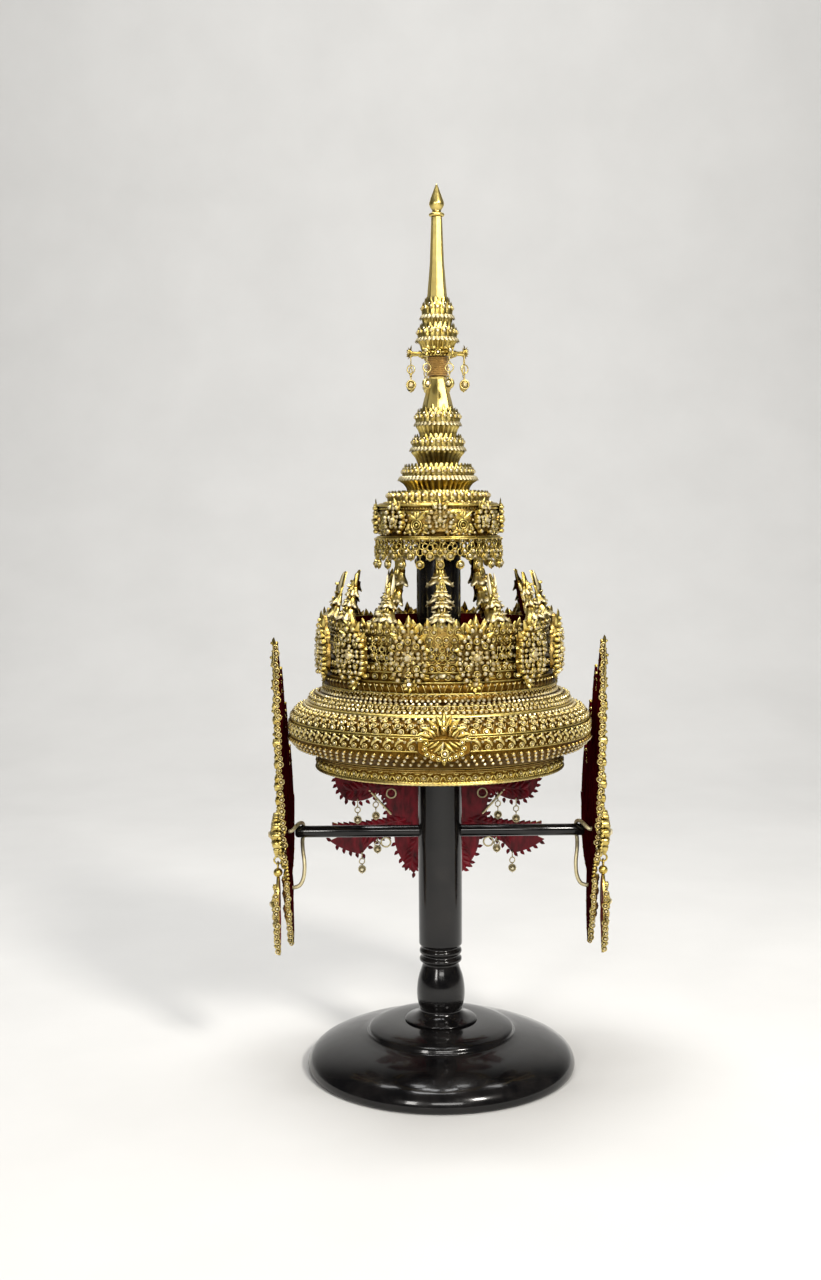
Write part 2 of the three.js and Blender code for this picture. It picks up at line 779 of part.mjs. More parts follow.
for (const side of ["right", "left"]) {
  const ear = new THREE.Group();
  ear.scale.x = side === "left" ? -1 : 1;
  headdress.add(ear);
  addPart(`${side}_ear_wing`, earWing(), gold, ear);
  addPart(`${side}_ear_flower`, earFlower(), gold, ear);
  addPart(`${side}_ear_hook`, earHook(), gold, ear);
  addPart(`${side}_ear_drop`, earDrop(), gold, ear);
}

// Nape plaque: a winged plate that two lugs hold to the band's back, with two pins and eight drops

function napePlaque() {
  const foot = 141;
  const wings = mirroredOutline(5, [
    { x: 18, z: 118.5 - foot, bendX: 10, bendZ: 130 - foot },
    { x: 33, z: 149 - foot, bendX: 33, bendZ: 132 - foot },
    { x: 58, z: 134 - foot, bendX: 48, bendZ: 149 - foot },
    { x: 83, z: 144.5 - foot, bendX: 70, bendZ: 135 - foot },
    { x: 39, z: 161 - foot, bendX: 58, bendZ: 156 - foot },
    { x: 44, z: 182 - foot, bendX: 37, bendZ: 178 - foot },
    { x: 70, z: 177 - foot, bendX: 58, bendZ: 172 - foot },
    { x: 78, z: 198 - foot, bendX: 80, bendZ: 186 - foot },
    { x: 26, z: 228.4 - foot, bendX: 62, bendZ: 223 - foot },
  ]);
  const back = plate(wings, NAPE.plate, FACING_BACK).translate(0, NAPE.inner, foot);
  const drops = [
    { x: 47, z: 182, length: 21 },
    { x: 61, z: 177, length: 19 },
    { x: 46, z: 147, length: 12 },
    { x: 58, z: 135.4, length: 16 },
  ];
  const middle = NAPE.inner + NAPE.plate / 2;
  const pin = { outerX: 52, outerZ: 184, innerX: 35, innerZ: 165, radius: 0.9 };
  const pinY = NAPE.inner - 0.5;
  const lug = { x: 20, from: 85.25, z: 223.5, radius: 1.4 };
  const both = [1, -1].flatMap((side) => [
    rod(
      new THREE.Vector3(side * pin.outerX, pinY, pin.outerZ),
      new THREE.Vector3(side * pin.innerX, pinY, pin.innerZ),
      pin.radius,
      6,
    ),
    rod(
      new THREE.Vector3(side * lug.x, lug.from, lug.z),
      new THREE.Vector3(side * lug.x, middle, lug.z),
      lug.radius,
      6,
    ),
    ...drops.map(({ x, z, length }) => pendant(length).translate(side * x, middle, z)),
  ]);
  return fuse(back, ...both);
}

addPart("nape_plaque", napePlaque(), gold, headdress);

export default root;
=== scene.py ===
import copy
import math

import bpy
import numpy as np
from mathutils import Matrix, Vector


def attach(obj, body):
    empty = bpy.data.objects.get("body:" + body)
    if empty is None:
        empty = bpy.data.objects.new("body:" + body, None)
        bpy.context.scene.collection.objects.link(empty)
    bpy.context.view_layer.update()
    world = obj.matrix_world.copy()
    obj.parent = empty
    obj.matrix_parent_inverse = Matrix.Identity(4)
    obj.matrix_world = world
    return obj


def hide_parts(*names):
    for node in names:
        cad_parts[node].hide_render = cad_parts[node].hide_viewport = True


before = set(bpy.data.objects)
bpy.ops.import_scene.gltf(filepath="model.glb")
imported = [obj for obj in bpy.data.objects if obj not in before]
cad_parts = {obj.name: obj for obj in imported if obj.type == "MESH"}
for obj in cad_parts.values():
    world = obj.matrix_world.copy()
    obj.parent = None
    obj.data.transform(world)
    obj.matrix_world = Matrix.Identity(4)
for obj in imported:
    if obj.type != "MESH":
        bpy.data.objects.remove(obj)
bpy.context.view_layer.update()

# Lengths in the ornament code are millimetres, and the pieces are made in metres.
MM = 0.001

# Camera

IMAGE_HEIGHT = 1280
FOCAL_PIXELS = 1500
SENSOR = 36.0


def add_camera(turn, distance, height, pan, pitch, roll):
    """Camera that many metres from the stand's axis; the angles are degrees, and turn goes about the axis."""
    data = bpy.data.cameras.new("camera")
    data.sensor_width = SENSOR
    data.lens = SENSOR * FOCAL_PIXELS / IMAGE_HEIGHT
    data.clip_end = 30
    camera = bpy.data.objects.new("camera", data)
    bpy.context.scene.collection.objects.link(camera)
    place = Matrix.Rotation(math.radians(turn), 4, "Z") @ Vector((0, -distance, height))
    look = Matrix.Rotation(math.radians(turn + pan), 4, "Z")
    look = look @ Matrix.Rotation(math.radians(90 - pitch), 4, "X")
    look = look @ Matrix.Rotation(math.radians(roll), 4, "Z")
    camera.matrix_world = Matrix.Translation(place) @ look
    bpy.context.scene.camera = camera


add_camera(turn=-1.5, distance=1.05335, height=0.39086, pan=1.09, pitch=4.574, roll=-0.4)

# Materials


class Shader:
    """A material with a Principled shader and short ways to add the nodes that feed it."""

    def __init__(self, name, **sockets):
        self.material = bpy.data.materials.new(name)
        self.material.use_nodes = True
        self.nodes = self.material.node_tree.nodes
        self.principled = self.nodes["Principled BSDF"]
        for socket, value in sockets.items():
            self.principled.inputs[socket.replace("_", " ")].default_value = value

    def node(self, kind, **settings):
        made = self.nodes.new(kind)
        for key, value in settings.items():
            setattr(made, key, value)
        return made

    def link(self, source, target):
        self.material.node_tree.links.new(source, target)

    def noise(self, scale, detail=3.0, roughness=0.55, stretch=(1, 1, 1)):
        """Noise in the object's own metres: scale is features per metre."""
        coordinates = self.node("ShaderNodeTexCoord")
        mapping = self.node("ShaderNodeMapping")
        mapping.inputs["Scale"].default_value = stretch
        texture = self.node("ShaderNodeTexNoise")
        texture.inputs["Scale"].default_value = scale
        texture.inputs["Detail"].default_value = detail
        texture.inputs["Roughness"].default_value = roughness
        self.link(coordinates.outputs["Object"], mapping.inputs["Vector"])
        self.link(mapping.outputs["Vector"], texture.inputs["Vector"])
        return texture.outputs["Fac"]

    def ramp(self, factor, *stops):
        """Colours along a factor, each stop a position and a linear colour."""
        ramp = self.node("ShaderNodeValToRGB")
        elements = ramp.color_ramp.elements
        while len(elements) < len(stops):
            elements.new(0.5)
        for element, (position, colour) in zip(elements, stops):
            element.position = position
            element.color = (*colour, 1)
        self.link(factor, ramp.inputs["Fac"])
        return ramp.outputs["Color"]

    def range(self, factor, low, high, to_low, to_high):
        mapped = self.node("ShaderNodeMapRange")
        for socket, value in zip(("From Min", "From Max", "To Min", "To Max"), (low, high, to_low, to_high)):
            mapped.inputs[socket].default_value = value
        self.link(factor, mapped.inputs["Value"])
        return mapped.outputs["Result"]

    def crevice(self, distance):
        """How open a point is: near 0 in a crevice that is narrower than distance, 1 in the open."""
        hollow = self.node("ShaderNodeAmbientOcclusion", samples=6)
        hollow.inputs["Distance"].default_value = distance
        return hollow.outputs["AO"]

    def mixed(self, factor, low, high):
        mix = self.node("ShaderNodeMix", data_type="RGBA")
        self.link(factor, mix.inputs["Factor"])
        for socket, colour in (("A", low), ("B", high)):
            target = next(s for s in mix.inputs if s.name == socket and s.type == "RGBA")
            if isinstance(colour, tuple):
                target.default_value = (*colour, 1)
            else:
                self.link(colour, target)
        return next(s for s in mix.outputs if s.type == "RGBA")

    def bump(self, height, depth, strength):
        node = self.node("ShaderNodeBump")
        node.inputs["Distance"].default_value = depth
        node.inputs["Strength"].default_value = strength
        self.link(height, node.inputs["Height"])
        self.link(node.outputs["Normal"], self.principled.inputs["Normal"])

    def feed(self, socket, source):
        self.link(source, self.principled.inputs[socket])


def gilding(name, bright, deep, smooth, dull, grain):
    """Gilt metal: mottled leaf, turned dark brown down in the crevices by painted shade, finely chased on its
    surface.
    """
    shader = Shader(name, Metallic=1.0)
    leaf = shader.ramp(shader.noise(220, detail=4), (0.34, deep), (0.66, bright))
    # Painted shade: the base colour goes to dark brown wherever the occlusion finds a crevice narrower than
    # 3.6 mm.
    unshaded_share = shader.range(shader.crevice(0.0036), 0.28, 0.9, 0.0, 1.0)
    shader.feed("Base Color", shader.mixed(unshaded_share, (0.04, 0.014, 0.001), leaf))
    shader.feed("Roughness", shader.range(shader.noise(700), 0.3, 0.7, smooth, dull))
    shader.bump(shader.noise(1500, detail=2), 0.0003, grain)
    return shader.material


def cut_stones():
    """Foil-backed paste stones: pale, hard and glossy, a little warmer and greyer from one to the next."""
    shader = Shader("cut_stones", Metallic=0.55, Roughness=0.2, Coat_Weight=0.5, Coat_Roughness=0.04)
    tint = shader.noise(160, detail=1)
    pale = shader.ramp(tint, (0.36, (0.66, 0.53, 0.27)), (0.64, (0.92, 0.83, 0.57)))
    shader.feed("Base Color", pale)
    shader.bump(shader.noise(600, detail=1), 0.0002, 0.12)
    return shader.material


def red_lacquer(name, deep, bright, gloss):
    """Red lacquer on the faces turned to the head, brushed on unevenly."""
    shader = Shader(name, Specular_IOR_Level=gloss)
    brushed = shader.noise(260, detail=5, stretch=(1, 1, 0.35))
    shader.feed("Base Color", shader.ramp(brushed, (0.3, deep), (0.7, bright)))
    shader.feed("Roughness", shader.range(shader.noise(500), 0.3, 0.7, 0.3, 0.5))
    shader.bump(brushed, 0.0005, 0.35)
    return shader.material


def painted_shade_ground():
    """Brown ground under the settings, darkened in uneven patches as painted shade between the stones."""
    shader = Shader("painted_shade_ground", Metallic=1.0)
    patches = shader.noise(420, detail=5)
    shader.feed("Base Color", shader.ramp(patches, (0.35, (0.055, 0.022, 0.002)), (0.68, (0.2, 0.11, 0.016))))
    shader.feed("Roughness", shader.range(patches, 0.3, 0.7, 0.34, 0.6))
    shader.bump(shader.noise(1300), 0.0003, 0.2)
    return shader.material


def black_lacquer():
    """Black lacquered wood: deep gloss with a slight ripple, rubbed grey and dusty in patches."""
    shader = Shader("black_lacquer", Specular_IOR_Level=0.25, Coat_Weight=0.35, Coat_Roughness=0.06)
    rubbed = shader.noise(45, detail=6, roughness=0.65)
    worn = shader.ramp(rubbed, (0.42, (0.0035, 0.0033, 0.0036)), (0.78, (0.016, 0.014, 0.013)))
    shader.feed("Base Color", worn)
    shader.feed("Roughness", shader.range(rubbed, 0.35, 0.75, 0.12, 0.3))
    shader.bump(shader.noise(150, detail=4, stretch=(1, 1, 0.5)), 0.0006, 0.06)
    return shader.material


def gold_thread():
    """Gold thread wound on a silk core: fine twisted fibres across each turn."""
    shader = Shader("gold_thread", Metallic=0.45, Sheen_Weight=0.2)
    fibres = shader.noise(900, detail=4, stretch=(1, 1, 4))
    shader.feed("Base Color", shader.ramp(fibres, (0.3, (0.26, 0.13, 0.025)), (0.72, (0.6, 0.38, 0.1))))
    shader.feed("Roughness", shader.range(fibres, 0.3, 0.7, 0.35, 0.6))
    shader.bump(fibres, 0.0006, 0.6)
    return shader.material


GOLD, STONE, RED, GROUND, THREAD, BLACK, BRIGHT, SHADED_GILT, PALE, CRIMSON, LIGHT, SHADED_RED = range(12)
MATERIALS = {
    GOLD: gilding("chased_gilt", (0.83, 0.68, 0.24), (0.58, 0.41, 0.08), 0.26, 0.4, 0.25),
    STONE: cut_stones(),
    RED: red_lacquer("red_lacquer", (0.085, 0.003, 0.006), (0.25, 0.012, 0.02), 0.08),
    # The dark ground is painted shade: it fills the gaps between the settings on rings, plates and bell
    # necks.
    GROUND: painted_shade_ground(),
    THREAD: gold_thread(),
    BLACK: black_lacquer(),
    BRIGHT: gilding("burnished_gilt", (0.88, 0.71, 0.24), (0.8, 0.62, 0.19), 0.28, 0.4, 0.05),
    # The darker, browner gilt is painted shade: under the brim, on the grounds of plates, wall and drum, and
    # on recessed leaves.
    SHADED_GILT: gilding("shaded_gilt", (0.54, 0.385, 0.125), (0.29, 0.17, 0.03), 0.22, 0.4, 0.3),
    PALE: gilding("pale_gilt", (0.88, 0.79, 0.51), (0.72, 0.61, 0.35), 0.46, 0.58, 0.15),
    CRIMSON: red_lacquer("crimson_lacquer", (0.06, 0.001, 0.004), (0.27, 0.006, 0.018), 0.3),
    # The light gilt is partly a painted highlight on the top-lit rows of the brim, and elsewhere the paler
    # tone of some leaves, collars and rings.
    LIGHT: gilding("light_gilt", (0.92, 0.77, 0.33), (0.72, 0.55, 0.17), 0.32, 0.46, 0.2),
    # The darker red is the red lacquer darkened as painted shade, for insides and backs turned away from the
    # lamps.
    SHADED_RED: red_lacquer("shaded_red_lacquer", (0.014, 0.0004, 0.0008), (0.052, 0.002, 0.0036), 0.0),
}

# Forms: meshes held as arrays, so that many small copies join into one piece

FACE_ARRAYS = ("sizes", "materials", "smooth")


class Form:
    """Points in millimetres, faces of any size, and a material and a shading for each face."""

    def __init__(self, points, faces, material, smooth=True):
        self.points = np.asarray(points, float).reshape(-1, 3)
        self.sizes = np.array([len(face) for face in faces])
        self.corners = np.array([corner for face in faces for corner in face])
        self.materials = np.full(len(faces), material)
        self.smooth = np.full(len(faces), smooth)

    def changed(self, **arrays):
        """The same form with some of its arrays replaced."""
        made = copy.copy(self)
        vars(made).update(arrays)
        return made

    def placed(self, frames):
        """Copies of the form, one for each 4 by 4 matrix."""
        frames = np.asarray(frames, float).reshape(-1, 4, 4)
        count, size = len(frames), len(self.points)
        copies = np.einsum("kij,nj->kni", frames[:, :3, :3], self.points) + frames[:, None, :3, 3]
        corners = (self.corners[None] + size * np.arange(count)[:, None]).ravel()
        tiled = {key: np.tile(getattr(self, key), count) for key in FACE_ARRAYS}
        return self.changed(points=copies.reshape(-1, 3), corners=corners, **tiled)

    def mirrored(self):
        """The form on the other side of the plane X = 0, its faces turned back outwards."""
        ends = np.cumsum(self.sizes)
        owner = np.repeat(np.arange(len(self.sizes)), self.sizes)
        back = (ends - 1)[owner] - (np.arange(len(self.corners)) - (ends - self.sizes)[owner])
        return self.changed(points=self.points * (-1, 1, 1), corners=self.corners[back])

    def at(self, *row):
        """One copy of the form, at a place in its own plane."""
        return self.placed(place(*row))

    def gilded(self, material):
        """The same form with another material in place of its chased gilt."""
        return self.changed(materials=np.where(self.materials == GOLD, material, self.materials))


def joined(*forms):
    starts = np.cumsum([0] + [len(form.points) for form in forms[:-1]])
    corners = np.concatenate([form.corners + start for form, start in zip(forms, starts)])
    arrays = {key: np.concatenate([getattr(form, key) for form in forms]) for key in ("points", *FACE_ARRAYS)}
    return forms[0].changed(corners=corners, **arrays)


def add_piece(name, *forms, body="root", replaces=()):
    """Joins forms into a piece that rides on a body, and hides the CAD nodes it stands for."""
    form = joined(*forms)
    mesh = bpy.data.meshes.new(name)
    mesh.vertices.add(len(form.points))
    mesh.vertices.foreach_set("co", (form.points * MM).ravel())
    mesh.loops.add(len(form.corners))
    mesh.loops.foreach_set("vertex_index", form.corners.astype(np.int32))
    mesh.polygons.add(len(form.sizes))
    mesh.polygons.foreach_set("loop_start", (np.cumsum(form.sizes) - form.sizes).astype(np.int32))
    used, numbers = np.unique(form.materials, return_inverse=True)
    for material in used:
        mesh.materials.append(MATERIALS[int(material)])
    mesh.polygons.foreach_set("material_index", numbers.astype(np.int32))
    mesh.polygons.foreach_set("use_smooth", form.smooth)
    mesh.update(calc_edges=True)
    mesh.validate()
    piece = bpy.data.objects.new(name, mesh)
    bpy.context.scene.collection.objects.link(piece)
    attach(piece, body)
    if replaces:
        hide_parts(*replaces)


# Places: 4 by 4 matrices whose X runs along the surface, Y up it and Z out of it


def place(x=0.0, y=0.0, z=0.0, spin=0.0, size=1.0):
    """A place in a form's own plane, turned by spin degrees."""
    turn = Matrix.Rotation(math.radians(spin), 4, "Z")
    return np.array(Matrix.Translation((x, y, z)) @ turn @ Matrix.Scale(size, 4))


def places(*rows):
    return np.stack([place(*row) for row in rows])


def paired(*rows):
    """Unturned places with their mirror images; a place on the middle line has none."""
    return places(*rows, *[(-x, *rest) for x, *rest in rows if x])


def about(axis, angle):
    """A turn about an axis through the origin, in radians."""
    return np.array(Matrix.Rotation(angle, 4, axis))


TURNED_OVER = about("Y", math.pi)


def on_ring(angle, radius, height, tilt=0.0, spin=0.0, size=1.0):
    """A place on a ring about the axis, angle degrees from the front; tilt turns its outside upwards."""
    stood = Matrix(((1, 0, 0, 0), (0, 0, -1, -radius), (0, 1, 0, height), (0, 0, 0, 1)))
    tilted = Matrix.Rotation(math.radians(-tilt), 4, "X") @ Matrix.Rotation(math.radians(spin), 4, "Z")
    return np.array(Matrix.Rotation(math.radians(angle), 4, "Z") @ stood @ tilted @ Matrix.Scale(size, 4))


def around(count, radius, height, tilt=0.0, spin=0.0, phase=0.0):
    """Places evenly round a ring; phase is in steps from the front."""
    step = 360.0 / count
    return np.stack([on_ring((i + phase) * step, radius, height, tilt, spin) for i in range(count)])


# Surfaces


def full_turn(count):
    """Angles evenly round a circle, in radians."""
    return np.linspace(0, 2 * math.pi, count, endpoint=False)


def skin(grid, material, around_too=True, closed=False, smooth=True):
    """A sheet over a grid of points, joined round its first direction, and its second where closed."""
    columns, rows = grid.shape[:2]
    across = np.arange(columns if around_too else columns - 1)
    along = np.arange(rows if closed else rows - 1)
    across, along = (part.ravel() for part in np.meshgrid(across, along, indexing="ij"))
    after, above = (across + 1) % columns, (along + 1) % rows
    corners = (across * rows + along, after * rows + along, after * rows + above, across * rows + above)
    return Form(grid, np.stack(corners, 1), material, smooth)


def end_caps(grid, material, smooth=True):
    """The two faces that close a sheet at its first and its last ring."""
    columns, rows = grid.shape[:2]
    first = [i * rows for i in reversed(range(columns))]
    last = [i * rows + rows - 1 for i in range(columns)]
    return Form(grid, [first, last], material, smooth)


def softened(points):
    """A profile with its corners cut off, its two ends kept."""
    points = np.asarray(points, float)
    near = 0.75 * points[:-1] + 0.25 * points[1:]
    far = 0.25 * points[:-1] + 0.75 * points[1:]
    cut = np.stack([near, far], 1).reshape(-1, 2)
    return np.concatenate([points[:1], cut[1:-1], points[-1:]])


def turned(profile, steps, material, lobes=0, depth=0.0, closed=False, capped=False):
    """A turned form: each profile row is a radius, a height and, where it has one, its share of the lobes."""
    profile = np.array([(*row, 1.0)[:3] for row in np.asarray(profile, float).tolist()])
    angle = full_turn(steps)[:, None]
    radius = profile[None, :, 0] * (1 + depth * profile[None, :, 2] * np.cos(lobes * angle) * (lobes > 0))
    height = np.broadcast_to(profile[None, :, 1], radius.shape)
    grid = np.stack([radius * np.sin(angle), -radius * np.cos(angle), height], -1)
    form = skin(grid, material, closed=closed)
    return joined(form, end_caps(grid, material, False)) if capped else form


def ring_wire(radius, height, thick, material=GOLD, steps=180, sides=6):
    """A plain wire laid round the axis."""
    turn = full_turn(sides)
    profile = np.stack([radius + thick * np.cos(turn), height + thick * np.sin(turn)], 1)
    return turned(profile, steps, material, closed=True)


ROPE_SIDES = 6
STEPS_A_TWIST = 4


def rope(radius, height, thick, twists, material):
    """A twisted two-strand wire laid round the axis."""
    angle = full_turn(STEPS_A_TWIST * twists)[:, None]
    turn = full_turn(ROPE_SIDES)[None]
    bulge = thick * (0.72 + 0.28 * np.cos(2 * turn + twists * angle))
    reach = radius + bulge * np.cos(turn)
    grid = np.stack([reach * np.sin(angle), -reach * np.cos(angle), height + bulge * np.sin(turn)], -1)
    return skin(grid, material, closed=True)


def tube(path, thick, sides, material=GOLD, normal=(0, 0, 1), closed=False):
    """A round wire along a path; normal is any direction that the path never follows."""
    path = np.asarray(path, float)
    ahead = np.roll(path, -1, 0) - np.roll(path, 1, 0) if closed else np.gradient(path, axis=0)
    ahead /= np.linalg.norm(ahead, axis=1, keepdims=True)
    side = np.cross(ahead, np.broadcast_to(normal, ahead.shape))
    side /= np.linalg.norm(side, axis=1, keepdims=True)
    up = np.cross(side, ahead)
    turn = full_turn(sides)
    circle = np.cos(turn)[None, :, None] * side[:, None] + np.sin(turn)[None, :, None] * up[:, None]
    grid = (path[:, None] + thick * circle).transpose(1, 0, 2)
    form = skin(grid, material, closed=closed)
    return form if closed else joined(form, end_caps(grid, material))


def smooth_path(points, steps):
    """A smooth line through points, with that many steps between neighbours."""
    points = np.asarray(points, float)
    ends = np.concatenate([2 * points[:1] - points[1:2], points, 2 * points[-1:] - points[-2:-1]])
    line = []
    for a, b, c, d in zip(ends, ends[1:], ends[2:], ends[3:]):
        for t in np.arange(steps) / steps:
            bow = (2 * a - 5 * b + 4 * c - d) * t**2 + (3 * b - a - 3 * c + d) * t**3
            line.append(0.5 * (2 * b + (c - a) * t + bow))
    return np.array(line + [points[-1]])


# Jeweller's elements, each lying in its own plane with +Z towards the eye


def leaf(length, width, height, bend=0.0, curl=0.0, base=0.55, rows=5, material=GOLD, blunt=0.0):
    """A ridged leaf from the origin along +Y: bend turns its tip right, curl lifts it, blunt rounds it."""
    t = np.linspace(0, 1, rows + 1)
    heading = math.radians(bend) * t
    along = np.stack([np.sin(heading), np.cos(heading)], 1)
    middle = np.concatenate([[[0, 0]], np.cumsum(along[:-1] * length / rows, 0)])
    side = np.stack([np.cos(heading), -np.sin(heading)], 1)
    stations = (0, 0.28, 0.55, 0.85, 1)
    pointed = np.interp(t, stations, (base, 1, 0.86, 0.38, 0.05))
    rounded = np.interp(t, stations, (base, 1, 0.98, 0.82, 0.45))
    half = 0.5 * width * (pointed + blunt * (rounded - pointed))
    swell = height * np.interp(t, (0, 0.3, 0.8, 1), (0.65, 1, 0.6, 0.12))
    columns = []
    for across, lift in ((-1, 0), (-0.5, 0.56), (0, 1), (0.5, 0.56), (1, 0)):
        flat = middle + side * (across * half)[:, None]
        columns.append(np.column_stack([flat, swell * lift + curl * t**2]))
    return skin(np.stack(columns), material, around_too=False)


GEM_SIDES = 6
TABLE_SHARE = 0.56


def gem(radius, height, floor):
    """A stone's crown: facets from its girdle up to a flat table."""
    turn = full_turn(GEM_SIDES)
    rings = [(turn, radius, floor), (turn + math.pi / GEM_SIDES, TABLE_SHARE * radius, height)]
    points = [np.stack([r * np.cos(a), r * np.sin(a), np.full(GEM_SIDES, z)], 1) for a, r, z in rings]
    after = [(i + 1) % GEM_SIDES for i in range(GEM_SIDES)]
    faces = [[i, after[i], GEM_SIDES + i] for i in range(GEM_SIDES)]
    faces += [[GEM_SIDES + i, after[i], GEM_SIDES + after[i]] for i in range(GEM_SIDES)]
    faces.append(list(range(GEM_SIDES, 2 * GEM_SIDES)))
    return Form(np.concatenate(points), faces, STONE, False)


def rubbed_wall(rows, radius, rise, steps):
    """A setting's wall: its rows are shares of its radius, and rise lifts all of it but its foot."""
    wall = turned([(r * radius, z * radius + rise) for r, z in rows], steps, GOLD)
    wall.points[:: len(rows), 2] -= rise
    return wall


def set_stone(radius, rise=0.0):
    """A stone in a plain rubbed setting, its foot a little below the plane."""
    setting = rubbed_wall([(1.0, -0.35), (1.0, 0.34), (0.8, 0.5)], radius, rise, 8)
    return joined(setting, gem(0.84 * radius, 0.9 * radius + rise, 0.4 * radius + rise))


def collar(radius, stone=0.5, rise=0.0):
    """A stone in a round collar with a dark gap, the small setting that covers most of the crown."""
    ring = rubbed_wall([(1.0, -0.3), (1.0, 0.2), (0.84, 0.4), (0.62, 0.04)], radius, rise, 14)
    return joined(ring, set_stone(stone * radius, rise + 0.14 * radius))


def flower(radius, petals, stone, cup=0.25, tip_stones=False):
    """An open flower: ridged petals round a set stone."""
    root, tip = 0.26 * radius, 0.72 * radius
    petal = leaf(tip, 0.62 * radius, 0.2 * radius, curl=cup * radius, base=0.6)
    spins = [i * 360.0 / petals for i in range(petals)]
    rays = [(-math.sin(math.radians(spin)), math.cos(math.radians(spin))) for spin in spins]
    parts = [
        petal.placed([place(root * x, root * y, 0, spin) for (x, y), spin in zip(rays, spins)]),
        set_stone(stone * radius, 0.2 * radius),
    ]
    if tip_stones:
        tips = [place(tip * x, tip * y, 0.24 * radius) for x, y in rays]
        parts.append(set_stone(0.15 * radius).placed(tips))
    return joined(*parts)


def bead(radius, steps=6):
    """A round bead."""
    turn = np.linspace(-0.5 * math.pi, 0.5 * math.pi, max(5, steps // 2 + 1))
    profile = np.stack([radius * np.cos(turn) + 0.02 * radius, radius * np.sin(turn)], 1)
    return turned(profile, steps, GOLD, capped=True)


def grain(radius):
    """A round grain soldered to its ground."""
    profile = [(1, -0.4), (0.84, 0.55), (0.36, 0.95)]
    return turned([(r * radius, z * radius) for r, z in profile], 6, GOLD, capped=True)


def link(radius, thick, steps=12, sides=5, material=GOLD):
    """A wire ring that lies in its plane."""
    turn = full_turn(steps)
    path = np.stack([radius * np.cos(turn), radius * np.sin(turn), 0 * turn], 1)
    return tube(path, thick, sides, material, closed=True)


LOOP_RADIUS = 0.95
LOOP_TURN, RING_TURN = 1.3, 0.35


def drop(length, disc, ring):
    """A small drop that hangs from the origin: wire loops, a ring and a flower disc with two faces."""
    ring_at = min(-(4 * LOOP_RADIUS + ring - 0.8), -0.5 * length + 0.4 * disc)
    disc_at = -(length - disc)
    face = collar(disc, 0.62)
    back = turned([(disc, 0), (0.7 * disc, 0.4 * disc)], 12, GOLD, capped=True).placed(TURNED_OVER)
    loops = (-LOOP_RADIUS + 0.3, ring_at + ring + LOOP_RADIUS - 0.4, ring_at - ring - LOOP_RADIUS + 0.4)
    wires = [(loops[0] - LOOP_RADIUS, loops[1] + LOOP_RADIUS), (loops[2] - LOOP_RADIUS, disc_at + disc - 0.4)]
    return joined(
        *[tube([(0, high, 0), (0, low, 0)], 0.36, 4) for high, low in wires if high > low],
        link(LOOP_RADIUS, 0.34, 8, 4).placed([place(0, y) @ about("Y", LOOP_TURN) for y in loops]),
        link(ring, 0.48).placed(place(0, ring_at) @ about("Y", RING_TURN)),
        joined(face, back).at(0, disc_at),
        bead(0.55).at(0, disc_at - disc - 0.1),
    )


CURVE_STEPS = 10


def curve_outline(start, curves):
    """A flat outline: a start and rows that each give an end point and the point its curve bends towards."""
    points = [np.array(start, float)]
    for end_x, end_y, bend_x, bend_y in curves:
        first, bend, end = points[-1], np.array((bend_x, bend_y)), np.array((end_x, end_y))
        for t in np.arange(1, CURVE_STEPS + 1) / CURVE_STEPS:
            points.append((1 - t) ** 2 * first + 2 * t * (1 - t) * bend + t**2 * end)
    return np.array(points)


def mirrored_outline(foot_half, curves):
    """An outline that is the same on both sides, from the curves of its right half."""
    right = curve_outline((foot_half, 0.0), curves)
    left = right[::-1] * (-1, 1)
    if abs(right[-1, 0]) < 1e-6:
        left = left[1:]
    return np.concatenate([right, left])


def along_edge(outline, every):
    """Every so many points of an outline, and the heading of its edge there in degrees."""
    steps = np.arange(0, len(outline) - 1, every)
    ahead = outline[steps + 1] - outline[steps]
    return outline[steps], np.degrees(np.arctan2(ahead[:, 1], ahead[:, 0]))


def plate(outline, thick, front=GOLD, back=RED, edge=None, bevel=0.6):
    """A flat plate with a softened front edge, its back on the plane. The outline runs anticlockwise."""
    if np.linalg.norm(outline[0] - outline[-1]) < 1e-6:
        outline = outline[:-1]
    count = len(outline)
    ahead = np.roll(outline, -1, 0) - np.roll(outline, 1, 0)
    ahead /= np.maximum(np.linalg.norm(ahead, axis=1, keepdims=True), 1e-9)
    inwards = np.stack([-ahead[:, 1], ahead[:, 0]], 1)
    rings = [(outline, 0.0), (outline, thick - bevel), (outline + bevel * inwards, thick)]
    grid = np.stack([np.column_stack([ring, np.full(count, z)]) for ring, z in rings], 1)
    return joined(
        skin(grid, front if edge is None else edge),
        Form(grid[:, -1], [list(range(count))], front, False),
        Form(grid[:, 0], [list(reversed(range(count)))], back, False),
    )


# Stand

BASE_PROFILE = [
    (0.1, 0.05), (90, 0.05), (94.6, 0.4), (95.6, 3), (95.4, 6), (93.4, 10.5), (88, 15), (74, 21), (54, 25.2),
    (52.4, 26), (52, 27.4), (51.2, 29.2), (48, 30.4), (46, 31.2), (40, 32.6), (30, 33.9), (0.1, 34),
]
add_piece("lacquered_base", turned(softened(BASE_PROFILE), 128, BLACK, capped=True), replaces=["stand_base"])

